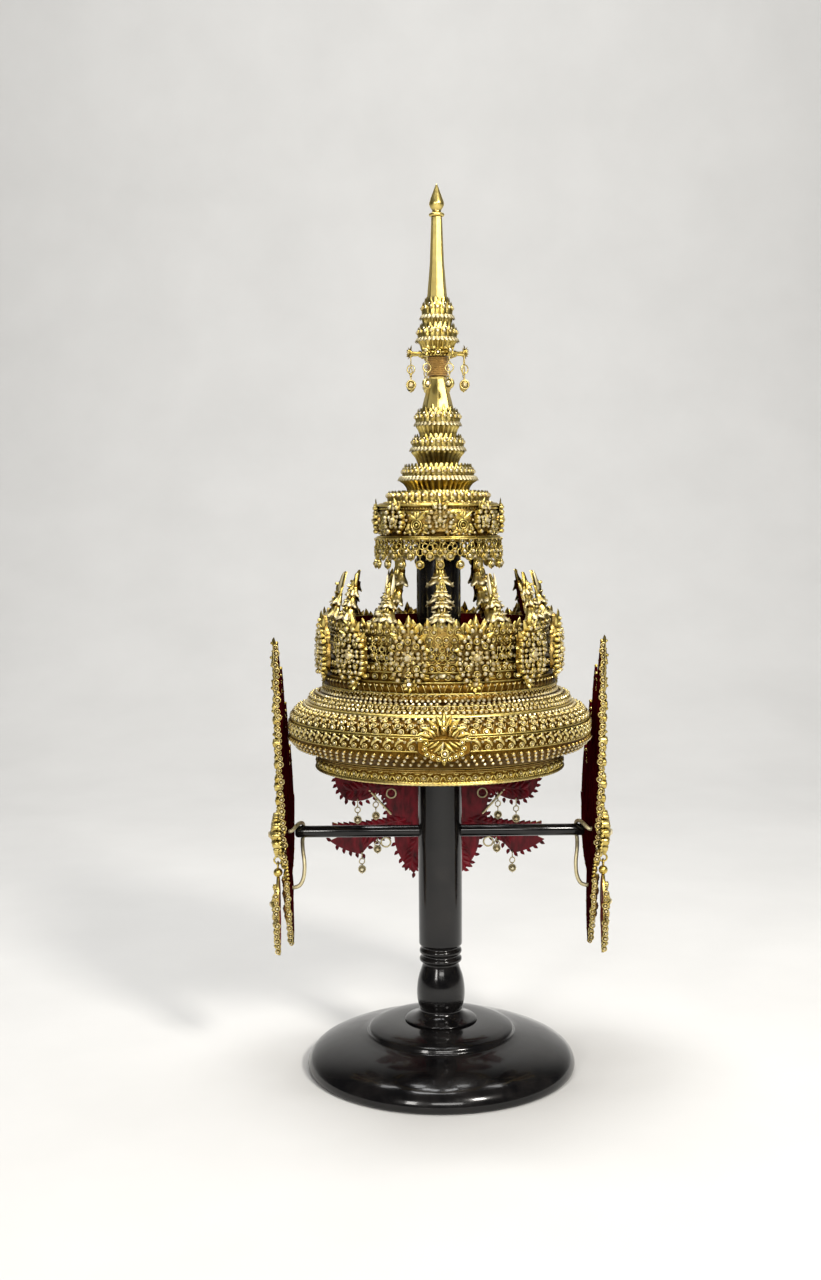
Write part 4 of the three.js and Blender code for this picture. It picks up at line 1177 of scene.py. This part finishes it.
TIERS = [
    ("large_tier", "tier_large", 409.4, 420, 424, 429, 19.6, 25.4, 27.6, 23.6, 34, -2),
    ("middle_tier", "tier_middle", 424.3, 440.4, 445, 449.4, 12.4, 17.4, 19.4, 16.6, 26, -2),
    ("small_tier", "tier_small", 445.3, 457.8, 461, 467, 11.4, 14.2, 16.2, 14.2, 22, -2),
    ("neck_tier", "tier_neck", 507.7, 515.4, 519.4, 525.6, 10.4, 12.8, 14.8, 12.2, 20, -2),
    ("top_tier", "tier_top", 519.7, 531, 535, 543.4, 8.8, 9.8, 11.8, 9.4, 16, 2),
]
for name, node, *sizes in TIERS:
    add_piece(name, lotus_tier(*sizes), replaces=[node])

SHOULDER = [
    (0.2, 402.9), (34.6, 402.9), (35, 403.8), (34.4, 404.8), (31.4, 405.6), (26, 407.6), (22, 409.1),
    (0.2, 409.1),
]
add_piece(
    "leaf_shoulder",
    turned(SHOULDER, 120, GOLD),
    upright_row(42, 34.6, 403.4, 7.6, 5.2, 4),
    upright_row(38, 32.2, 404.6, 6.6, 5, 10, 0.5),
    grain(0.9).placed(around(84, 35.2, 403.4)),
    collar(2.0).placed(around(34, 28, 406.9, 70)),
    replaces=["shoulder"],
)


FACETS = 8
CORNER_SHARE = 0.16


def faceted(profile):
    """A turned form with flat sides and narrow softened edges between them."""
    step = 2 * math.pi / FACETS
    shifts = (-0.5 * CORNER_SHARE, 0.5 * CORNER_SHARE)
    angle = np.array([(i + shift) * step for i in range(FACETS) for shift in shifts])[:, None]
    profile = np.asarray(profile, float)
    reach = profile[None, :, 0] * math.cos(0.5 * step) / math.cos(0.5 * step * (1 - CORNER_SHARE))
    reach = np.broadcast_to(reach, (len(angle), len(profile)))
    height = np.broadcast_to(profile[None, :, 1], reach.shape)
    grid = np.stack([reach * np.sin(angle), -reach * np.cos(angle), height], -1)
    return skin(grid, BRIGHT, smooth=False)


CONE = [
    (0.2, 461.3), (12.8, 461.3), (12.2, 464), (10.6, 471), (8.2, 480), (6, 488), (6.5, 489.2), (6.1, 490),
    (0.2, 490),
]
SPIRE = [(0.2, 535.3), (8.6, 535.3), (8.1, 538), (7.1, 544), (6, 556), (5, 568), (3.8, 598.6), (0.2, 598.6)]
BUD = [
    (0.1, 598.9), (4.2, 598.9), (5.2, 599.4), (5.5, 600.3), (5, 601.2), (3.4, 601.7), (3, 602.4),
    (3.2, 603.4), (4.2, 604.8), (5.3, 607), (5, 609), (3.4, 613.4), (1.6, 618), (0.4, 621),
    (0.05, 621.2),
]


add_piece(
    "cone_facets",
    faceted(CONE),
    leaf(9, 4.6, 1.1, curl=1.4, base=0.8).placed(around(8, 11.2, 461.6, 14, phase=0.5)),
    leaf(7, 4.2, 1.1, curl=1.8, base=0.8).placed(around(8, 11.6, 461.6, 10)),
    replaces=["faceted_cone"],
)
add_piece("spire_facets", faceted(SPIRE), replaces=["spire"])
add_piece("spire_bud", turned(softened(BUD), 40, BRIGHT, capped=True), replaces=["bud"])

# Thread winding: the turns lie side by side round the shaft
THREAD_TURNS = 10
THREAD_PITCH = 1.3
THREAD_FOOT, THREAD_TOP = 490.3, 503.3
ONE_TURN = [(6.5, 0), (7.0, 0.14), (7.35, 0.45), (7.35, 0.85), (7.0, 1.16)]
turn_rows = [
    (radius, THREAD_FOOT + i * THREAD_PITCH + up) for i in range(THREAD_TURNS) for radius, up in ONE_TURN
]
thread = turned([(0.2, THREAD_FOOT), *turn_rows, (6.62, THREAD_TOP), (0.2, THREAD_TOP)], 72, THREAD)
add_piece("thread_turns", thread, replaces=["winding"])

WHEEL_HUB = [
    (0.2, 503.8), (9.6, 503.8), (11, 504.4), (12.4, 505.2), (12.8, 505.8), (12.2, 506.6), (10.6, 507.3),
    (0.2, 507.4),
]
WHEEL_MIDDLE = 505.6
WHEEL_ARMS, WHEEL_REACH = 8, 20
# The drops are turned towards the front, in degrees.
WHEEL_DROP_TURN = -60
wheel_arm = joined(
    tube([(0, 0, -10), (0, 0, -4), (0, 0, 0)], 0.95, 8, normal=(0, 1, 0)),
    flower(3.3, 6, 0.45, cup=0.4).at(0, 0.4, 0.8),
    leaf(4.6, 2.6, 0.8, curl=-0.6).at(0, 0.6, 0),
    bead(1.5).at(0, 0, -0.4),
    drop(25.4, 3.5, 2.9).gilded(LIGHT).placed(about("Y", math.radians(WHEEL_DROP_TURN))),
)
arm_step = 360.0 / WHEEL_ARMS
right_arms = wheel_arm.placed(
    [on_ring(arm_step * (i + 0.5), WHEEL_REACH, WHEEL_MIDDLE) for i in range(WHEEL_ARMS // 2)]
)
add_piece(
    "wheel_of_drops",
    turned(WHEEL_HUB, 96, GOLD, 16, 0.05),
    collar(2.4).placed(around(WHEEL_ARMS, 12.2, WHEEL_MIDDLE)),
    bead(1.0).placed(around(30, 11.4, 504)),
    right_arms,
    right_arms.mirrored(),
    replaces=["pendant_wheel"],
)

# Ear ornaments, drawn for the right side: X of their plane runs to the back, and Z out from the head

EAR_PLANE = np.array(Matrix(((0, 0, 1, 0), (1, 0, 0, 0), (0, 1, 0, 0), (0, 0, 0, 1))))
EAR_INNER = 107.5
EAR_PLATE = 2.0
LEAN_HEIGHT, LEAN_ANGLE = 170, math.radians(2.15)
LEAN = place(EAR_INNER, 0, LEAN_HEIGHT) @ about("Y", LEAN_ANGLE) @ place(-EAR_INNER, 0, -LEAN_HEIGHT)
FLOWER_AT = (-14, 172)
DROP_X = 114.4
HINGE_HEIGHT = 150.6
EYE_RADIUS, EYE_WIRE, EYE_HEIGHT = 2.6, 0.7, 153.2
RING_RADIUS, RING_WIRE = 2.4, 0.6
DROP_BEAD = 3.2


def ear_place(x, y, out):
    return EAR_PLANE @ place(x, y, out)


WING_OUTLINE = curve_outline(
    (-9.0, 306.0),
    [
        (-24, 215, -21, 266), (-22, 152, -29, 180), (-14, 137, -17, 146), (-4, 91, -17, 110),
        (15, 138, 12, 108), (55, 163, 40, 142), (56, 224, 68, 194), (37, 213, 46, 212), (37, 258, 46, 234),
        (20, 243, 29, 244), (15, 286, 26, 264), (2, 270, 9, 272), (-9, 306, -1, 288),
    ],
)
# Each flame of the wing: its root, its heading, length, width and bend.
WING_FLAMES = [
    (-12, 196, 4, 108, 16, 12), (-21, 178, 2, 74, 11, 16), (4, 206, -4, 78, 14, -2),
    (16, 190, -8, 68, 14, 2), (30, 172, -22, 54, 15, -4), (38, 166, -40, 34, 11, 30),
    (-2, 134, 177, 42, 15, 0), (7, 138, 168, 26, 9, 24), (-9, 138, 190, 24, 8, -24),
    (0, 160, -70, 40, 14, -26), (-6, 148, -98, 34, 10, -26), (-20, 158, 40, 11, 8, 60),
]
# Lines of collars on the wing: their points from end to end, the first and the last radius.
WING_LINES = [
    ([(-11, 206), (-15, 240), (-12.6, 272), (-9, 299)], 3.3, 1.7),
    ([(-22, 192), (-22, 216), (-20, 240), (-15.5, 268), (-10.5, 292)], 3.0, 1.9),
    ([(-4, 200), (-6, 232), (-5, 262), (-3.5, 282)], 2.8, 1.8),
    ([(4, 212), (6, 240), (14, 280)], 3.2, 1.7),
    ([(17, 198), (24, 222), (36, 252)], 3.2, 1.7),
    ([(10, 186), (12, 206), (17, 232)], 2.6, 2.2),
    ([(30, 180), (42, 196), (55, 219)], 3.2, 1.7),
    ([(26, 190), (32, 206)], 2.4, 2.2),
    ([(40, 166), (54, 176), (60, 194), (58, 212)], 2.8, 1.8),
    ([(-2, 130), (-3.4, 97)], 3.2, 1.7),
    ([(-9, 134), (-9, 112)], 2.6, 2.0),
    ([(6, 134), (4, 112)], 2.6, 2.0),
    ([(-12, 150), (2, 147), (20, 146), (34, 150), (48, 160)], 2.6, 2.4),
    ([(2, 160), (18, 158), (34, 164)], 3.0, 2.8),
    ([(6, 172), (22, 172)], 3.0, 2.8),
]
# The front edges of the wing and of its foot, each from end to end.
WING_FRONT = [(-20.6, 154), (-23.6, 180), (-22.8, 215), (-19, 250), (-13, 284), (-9.6, 303)]
WING_FOOT_FRONT = [(-14, 137), (-14.5, 124), (-13, 112), (-9.5, 101), (-4, 91)]


def spaced(points, pitch):
    """Points at an even pitch along a smooth line, each with the line's heading there in degrees."""
    line = smooth_path([(*point, 0) for point in points], 12)[:, :2]
    run = np.concatenate([[0], np.cumsum(np.linalg.norm(np.diff(line, axis=0), axis=1))])
    along = np.gradient(line, axis=0)
    headings = np.degrees(np.arctan2(-along[:, 0], along[:, 1]))
    stops = np.linspace(0, run[-1], int(run[-1] / pitch) + 1)
    return [[np.interp(stop, run, values) for values in (line[:, 0], line[:, 1], headings)] for stop in stops]


def front_bar(points, out, thick, radius):
    """A gilt bar along a plate's front edge, set with collars that look forwards."""
    line = smooth_path([(x, y, out) for x, y in points], 6)
    forwards = about("Y", -0.5 * math.pi)
    spots = []
    for number, (x, y, _) in enumerate(spaced(points, 1.9 * radius)):
        uneven_out, uneven = out + 0.5 * math.sin(1.7 * number), 1 + 0.16 * math.sin(2.3 * number)
        spots.append(place(x - 0.8 * thick, y, uneven_out, 0, uneven) @ forwards)
    return joined(tube(line, thick, 8), collar(radius, rise=0.6).gilded(LIGHT).placed(spots))


def barbs(lobes, out, material):
    """Short leaves along both sides of each lobe's midrib, like the barbs of a feather."""
    parts = []
    for x, y, spin, length, width, bend in lobes:
        for step in np.arange(4, length - 5, 4.4):
            middle = math.radians(spin - 0.5 * bend * step / length)
            at = (x - step * math.sin(middle), y + step * math.cos(middle))
            for side in (1, -1):
                barb = leaf(0.62 * width, 4.8, 1.5, bend=-20 * side, curl=0.5, rows=4, material=material)
                parts.append(barb.at(*at, out, spin - bend * step / length + 38 * side))
    return joined(*parts)


def lobe_leaves(lobes, out, share, height, rows, material=GOLD, curl=0.0):
    """A leaf along each lobe, as wide as that share of it."""
    parts = []
    for x, y, spin, length, width, bend in lobes:
        blade = leaf(length, share * width, height, bend=bend, curl=curl, rows=rows, material=material)
        parts.append(blade.at(x, y, out, spin))
    return joined(*parts)


def line_of_collars(points, first, last, out, rise):
    """Collars side by side along a line, growing from the first radius to the last."""
    stops = spaced(points, first + last)
    spots = []
    for number, (x, y, _) in enumerate(stops):
        uneven = 1 + 0.18 * math.sin(2.3 * number) - 0.1 * math.cos(1.1 * number)
        spots.append((x, y, out, 0, uneven * (1 + (last / first - 1) * number / len(stops))))
    return collar(first, rise=rise).placed(places(*spots))


WING_MIDDLE = (10.0, 190.0)


def wing():
    edge, headings = along_edge(WING_OUTLINE, 3)
    inset = edge + 0.02 * (np.array(WING_MIDDLE) - edge)
    edge_spots = [place(x, y, EAR_PLATE - 0.4, turn + 30) for (x, y), turn in zip(inset, headings)]
    bead_spots = [place(x, y, 0.5 * EAR_PLATE) for x, y in WING_OUTLINE[:-1:2]]
    scale = joined(leaf(7.4, 4.6, 3.2, curl=1.2, base=0.8, blunt=0.3), grain(1.1).at(0, 3.2, 3))
    scale_spots = [
        place(x + 1.6, y, EAR_PLATE - 0.4, heading, 1 - 0.2 * math.sin(1.9 * number))
        for number, (x, y, heading) in enumerate(spaced(WING_FRONT, 5.2))
    ]
    return joined(
        # The plate's ground is the darker gilt, and its back and edge the darker red, both painted shade.
        plate(WING_OUTLINE, EAR_PLATE, front=SHADED_GILT, back=SHADED_RED, edge=SHADED_RED, bevel=0.5),
        lobe_leaves(WING_FLAMES, EAR_PLATE - 0.2, 1, 3, 9),
        barbs(WING_FLAMES, EAR_PLATE + 0.4, GOLD),
        collar(2.8, rise=2.6).placed(places(*[(x, y, EAR_PLATE) for x, y, *_ in WING_FLAMES])),
        leaf(5, 3.6, 2.4, curl=1.0).placed(edge_spots),
        bead(1.35).placed(bead_spots),
        scale.placed(scale_spots),
        front_bar(WING_FRONT, 1.8, 1.7, 2.1),
        front_bar(WING_FOOT_FRONT, 1.8, 1.5, 1.9),
        lobe_leaves(WING_FLAMES, 0, 1, 1.2, 9, SHADED_RED).placed(TURNED_OVER).mirrored(),
        *[line_of_collars(points, first, last, EAR_PLATE, 2.6) for points, first, last in WING_LINES],
    ).placed(LEAN @ EAR_PLANE @ place(0, 0, EAR_INNER))


def ear_flower():
    x, y = FLOWER_AT
    foot = EAR_INNER + EAR_PLATE + 0.3
    back = foot + 1.4
    turn = full_turn(18)
    eye_x, eye_z = DROP_X + EYE_RADIUS * np.cos(turn), EYE_HEIGHT + EYE_RADIUS * np.sin(turn)
    eye = np.stack([eye_x, np.full(18, float(x)), eye_z], 1)
    lug = [(back + 1, x, 158), (DROP_X - 1.4, x, 157.2), (DROP_X, x, 155.8)]

    def ringed(count, reach, out, phase=0.0):
        angles = [2 * math.pi * (i + phase) / count for i in range(count)]
        return [ear_place(x + reach * math.sin(a), y + reach * math.cos(a), back + out) for a in angles]

    dish = [(0.2, 0), (12.6, 0), (13.4, 1), (12, 2.2), (9, 4.4), (7, 5)]

    head = joined(
        turned([(7, 0), (7, 2)], 24, GOLD).placed(ear_place(x, y, foot)),
        flower(16, 8, 0.2, cup=0.12).placed(ear_place(x, y, back)),
        turned(dish, 48, GOLD, 16, 0.05).placed(ear_place(x, y, back)),
        collar(3.1, rise=2.8).placed(ringed(13, 12.4, 1.4)),
        collar(3.0, rise=3.0).placed(ringed(8, 7, 2.6)),
        set_stone(1.5, 1.0).placed(ringed(20, 9.8, 3)),
        bead(1.5).placed(ringed(28, 14.6, 0.6)),
        grain(1.0).placed(ringed(24, 12.6, 3.6, 0.5)),
        flower(6.4, 8, 0.62).placed(ear_place(x, y, back + 4.6)),
    )
    return joined(
        head.placed(LEAN),
        tube(eye, EYE_WIRE, 8, normal=(0, 1, 0), closed=True),
        tube(lug, 0.9, 8, normal=(0, 1, 0)),
    )


HOOK_POINTS = [
    (107.1, -9, 172.6), (104.6, -8.6, 173.2), (101.4, -5, 176), (99, 0, 176.8), (97.6, 5, 174.8),
    (97.4, 7.2, 169.5), (98.2, 5, 163), (97.6, 0, 156.5), (96.4, -3, 148), (97, -3.5, 139), (99.6, -3.5, 133),
    (103.2, -3.5, 131.2), (105.6, -3.5, 131),
]
HOOK = smooth_path(HOOK_POINTS, 5)
DROP_FRONT = [(-4.6, 133), (-8.8, 124.6), (-7.4, 116.4), (-7.8, 107), (-4, 97), (-1, 88.4)]

# The collars down the middle of a drop: height and size.
DROP_MIDDLE = [(113, 1), (107.4, 0.9), (102, 0.8), (97, 0.7)]


def ear_drop():
    ring_height = HINGE_HEIGHT - (RING_RADIUS - RING_WIRE - EYE_WIRE - 0.3)
    bead_height = ring_height - RING_RADIUS - DROP_BEAD + 0.3
    leaf_top = bead_height - DROP_BEAD + 0.8
    turn = full_turn(20)
    y = FLOWER_AT[0]
    ring_y, ring_z = y + RING_RADIUS * np.cos(turn), ring_height + RING_RADIUS * np.sin(turn)
    ring = np.stack([np.full(20, DROP_X), ring_y, ring_z], 1)
    right = [(9.4, 124, 8, 138), (6.4, 116, 10, 119), (8, 106, 9.4, 111), (0, 85, 2.6, 99)]
    left = [(-8, 106, -2.6, 99), (-6.4, 116, -9.4, 111), (-9.4, 124, -10, 119), (0, leaf_top, -8, 138)]
    outline = curve_outline((0.0, leaf_top), right + left)[::-1]
    blade = joined(
        plate(outline, 2, bevel=0.5),
        front_bar(DROP_FRONT, 1.6, 1.4, 2.1),
        leaf(34, 10, 1.7, rows=9).at(0, 121, 1.6, 180),
        leaf(17, 6, 1.3, bend=-28).at(2, 122, 1.6, 214),
        leaf(17, 6, 1.3, bend=28).at(-2, 122, 1.6, 146),
        leaf(13, 7, 1.5).at(0, 124, 1.6),
        flower(6.6, 8, 0.46, tip_stones=True).at(0, 122, 3.2),
        collar(2.7, rise=2.2).placed(places(*[(0, h, 2, 0, s) for h, s in DROP_MIDDLE])),
        collar(2.2, rise=1.8).placed(paired((5.6, 127, 1.8), (7, 121, 1.8), (0, 134, 2))),
        set_stone(1.7, 1.8).placed(paired((5.2, 109, 1.6), (5.4, 115, 1.6), (0, 91.6, 1.4))),
        leaf(34, 10, 0.8, rows=9, material=RED).placed(TURNED_OVER @ place(0, 121, 0, 180)),
    )
    return joined(
        tube(ring, RING_WIRE, 8, normal=(1, 0, 0), closed=True),
        bead(DROP_BEAD, 20).at(DROP_X, y, bead_height),
        blade.placed(place(0, y) @ ear_place(0, 0, DROP_X - 1)),
    )


EAR_PIECES = {
    "wing": (wing(), "root"),
    "flower": (ear_flower(), "root"),
    "hook": (tube(HOOK, 1.4, 12, PALE, normal=(0.35, 0.93, 0.1)), "root"),
    "drop": (ear_drop(), "drop"),
}
for side in ("right", "left"):
    for part, (form, body) in EAR_PIECES.items():
        add_piece(
            f"{side}_{part}",
            form if side == "right" else form.mirrored(),
            body=body if body == "root" else f"{side}_{body}",
            replaces=[f"{side}_ear_{part}"],
        )

# Nape plaque: red towards the head, gilt leaves and stones on its back

NAPE_RADIUS, NAPE_FOOT = 88.7, 141
# The drops and hoops hang in front of the plaque at these distances from the axis.
NAPE_DROP_REACH, NAPE_HOOP_REACH = 87.6, 87.4
NAPE_OUTLINE = mirrored_outline(
    5,
    [
        (18, -22.5, 10, -11), (33, 8, 33, -9), (58, -7, 48, 8), (83, 3.5, 70, -6), (39, 20, 58, 15),
        (44, 41, 37, 37), (70, 36, 58, 31), (78, 57, 80, 45), (26, 87.4, 62, 82),
    ],
)
# Each lobe of the plaque's right half: its root, heading, length, width and bend.
NAPE_LOBES = [
    (10, 16, -158, 38, 15, 10), (20, 16, -100, 40, 13, 12), (24, 20, -104, 58, 11, -14),
    (26, 46, -92, 46, 15, 6), (20, 56, -70, 56, 20, 10), (14, 70, -60, 34, 12, 16), (4, 30, -10, 50, 18, 0),
]
# The collars of that half: X, Y and radius.
NAPE_STONES = [
    (14, 0, 2.8), (15, -12, 2.4), (26, 12, 2.6), (38, 8, 2.6), (52, 4, 2.6), (66, 0, 2.4), (32, 42, 3),
    (44, 48, 3), (56, 46, 2.8), (68, 46, 2.4), (32, 62, 3), (46, 60, 2.8), (60, 56, 2.6),
    (20, 74, 2.8), (32, 76, 2.4), (12, 46, 3), (12, 30, 2.8), (8, 60, 2.8),
]
# The small drops and wire hoops in front of the plaque: X and height, and a drop's length.
NAPE_DROPS = [(47, 182, 21), (61, 177, 19), (46, 147, 12), (58, 135.4, 16)]
NAPE_HOOPS = [(35, 181.5), (39.5, 143.4)]


def nape_half(side):
    """What one half of the plaque carries in front of it: drops, hoops, a fixing pin and a lug."""
    hung = [
        drop(length, 3.1, 2.2).gilded(PALE).placed(place(side * x) @ on_ring(0, -NAPE_DROP_REACH, z))
        for x, z, length in NAPE_DROPS
    ]
    hoops = [place(side * x) @ on_ring(0, -NAPE_HOOP_REACH, z) for x, z in NAPE_HOOPS]
    return joined(
        *hung,
        link(3.6, 0.7, 20, material=PALE).placed(hoops),
        tube([(side * 52, 88.2, 184), (side * 35, 88.2, 165)], 0.9, 10, PALE, normal=(0, 1, 0)),
        tube([(side * 20, 85.25, 223.5), (side * 20, 89.7, 223.5)], 1.4, 10, normal=(0, 0, 1)),
    )


def nape_plaque():
    """Drawn as seen from behind: X to the viewer's right is the object's -X."""
    mirror_lobes = [(-x, y, -spin, length, width, -bend) for x, y, spin, length, width, bend in NAPE_LOBES]
    lobes = NAPE_LOBES + mirror_lobes
    edge, headings = along_edge(NAPE_OUTLINE, 2)
    edge_spots = [place(x, y, 0.3, turn + 150) for (x, y), turn in zip(edge * 0.99, headings)]
    back = joined(
        # The plaque's gilt ground is the darker gilt of painted shade.
        plate(NAPE_OUTLINE, 2, front=SHADED_GILT, back=CRIMSON, bevel=0.5),
        lobe_leaves(lobes, 2, 0.5, 2, 8, curl=0.4),
        barbs(lobes, 1.9, GOLD),
        collar(3, rise=1.6).placed(places(*[(x, y, 2) for x, y, *_ in lobes])),
        *[collar(size, rise=1.2).placed(paired((x, y, 2.6))) for x, y, size in NAPE_STONES],
        flower(9, 8, 0.4, tip_stones=True).at(0, 52, 2),
        leaf(4.2, 3, 1.2, material=CRIMSON).placed(edge_spots),
    )
    front = joined(barbs(lobes, 0.2, CRIMSON), lobe_leaves(lobes, 0.4, 0.5, 1.8, 8, CRIMSON))
    plane = on_ring(180, NAPE_RADIUS, NAPE_FOOT)
    return joined(back.placed(plane), front.placed(plane @ TURNED_OVER), nape_half(1), nape_half(-1))


add_piece("nape_wings", nape_plaque(), replaces=["nape_plaque"])

# Floor, backdrop and studio light


def floor_material():
    shader = Shader("studio_paper", Roughness=0.9)
    tone = shader.noise(6, detail=4)
    shader.feed("Base Color", shader.ramp(tone, (0.3, (0.66, 0.655, 0.64)), (0.7, (0.7, 0.695, 0.68))))
    return shader.material


def add_backdrop():
    """A sheet of paper that lies under the stand and rises behind it in one curve."""
    near, far, bow, top, half_width = -4.0, 1.0, 1.2, 4.5, 5.0
    curve = np.linspace(0.1, math.pi / 2, 16)
    line = [(near, 0.0), (far, 0.0)]
    line += [(far + bow * math.sin(a), bow - bow * math.cos(a)) for a in curve]
    line.append((far + bow, top))
    columns = np.linspace(-half_width, half_width, 9)
    grid = np.array([[(x, y, z) for y, z in line] for x in columns])
    form = skin(grid / MM, GOLD, around_too=False)
    mesh = bpy.data.meshes.new("backdrop")
    faces = form.corners.reshape(-1, 4).tolist()
    mesh.from_pydata((form.points * MM).tolist(), [], faces)
    mesh.polygons.foreach_set("use_smooth", [True] * len(faces))
    mesh.materials.append(floor_material())
    backdrop = bpy.data.objects.new("backdrop", mesh)
    bpy.context.scene.collection.objects.link(backdrop)


def add_softbox(name, place_at, aim, width, height, power, colour=(1, 1, 1)):
    data = bpy.data.lights.new(name, "AREA")
    data.shape = "RECTANGLE"
    data.size, data.size_y = width, height
    data.energy = power
    data.color = colour
    lamp = bpy.data.objects.new(name, data)
    lamp.location = place_at
    lamp.rotation_euler = (Vector(aim) - Vector(place_at)).to_track_quat("-Z", "Y").to_euler()
    bpy.context.scene.collection.objects.link(lamp)


add_backdrop()
CENTRE = (0, 0, 0.33)
add_softbox("key_right", (0.85, -1.25, 1.3), CENTRE, 0.3, 0.3, 26, (1, 0.96, 0.9))
add_softbox("front_left", (-0.75, -1.5, 0.75), CENTRE, 0.25, 0.5, 8, (1, 0.97, 0.93))
add_softbox("over_camera", (0.1, -1.75, 0.85), CENTRE, 0.8, 0.35, 9, (1, 0.98, 0.94))
add_softbox("top", (-0.1, 0.0, 1.7), CENTRE, 0.6, 0.6, 14)
add_softbox("backdrop_light", (0, 0.5, 2.2), (0, 2.0, 0.6), 2.0, 0.6, 30)
world = bpy.data.worlds.new("studio")
bpy.context.scene.world = world
world.use_nodes = True
world.node_tree.nodes["Background"].inputs["Color"].default_value = (0.9, 0.93, 1.0, 1)
world.node_tree.nodes["Background"].inputs["Strength"].default_value = 0.05

bpy.context.scene.view_settings.view_transform = "Standard"
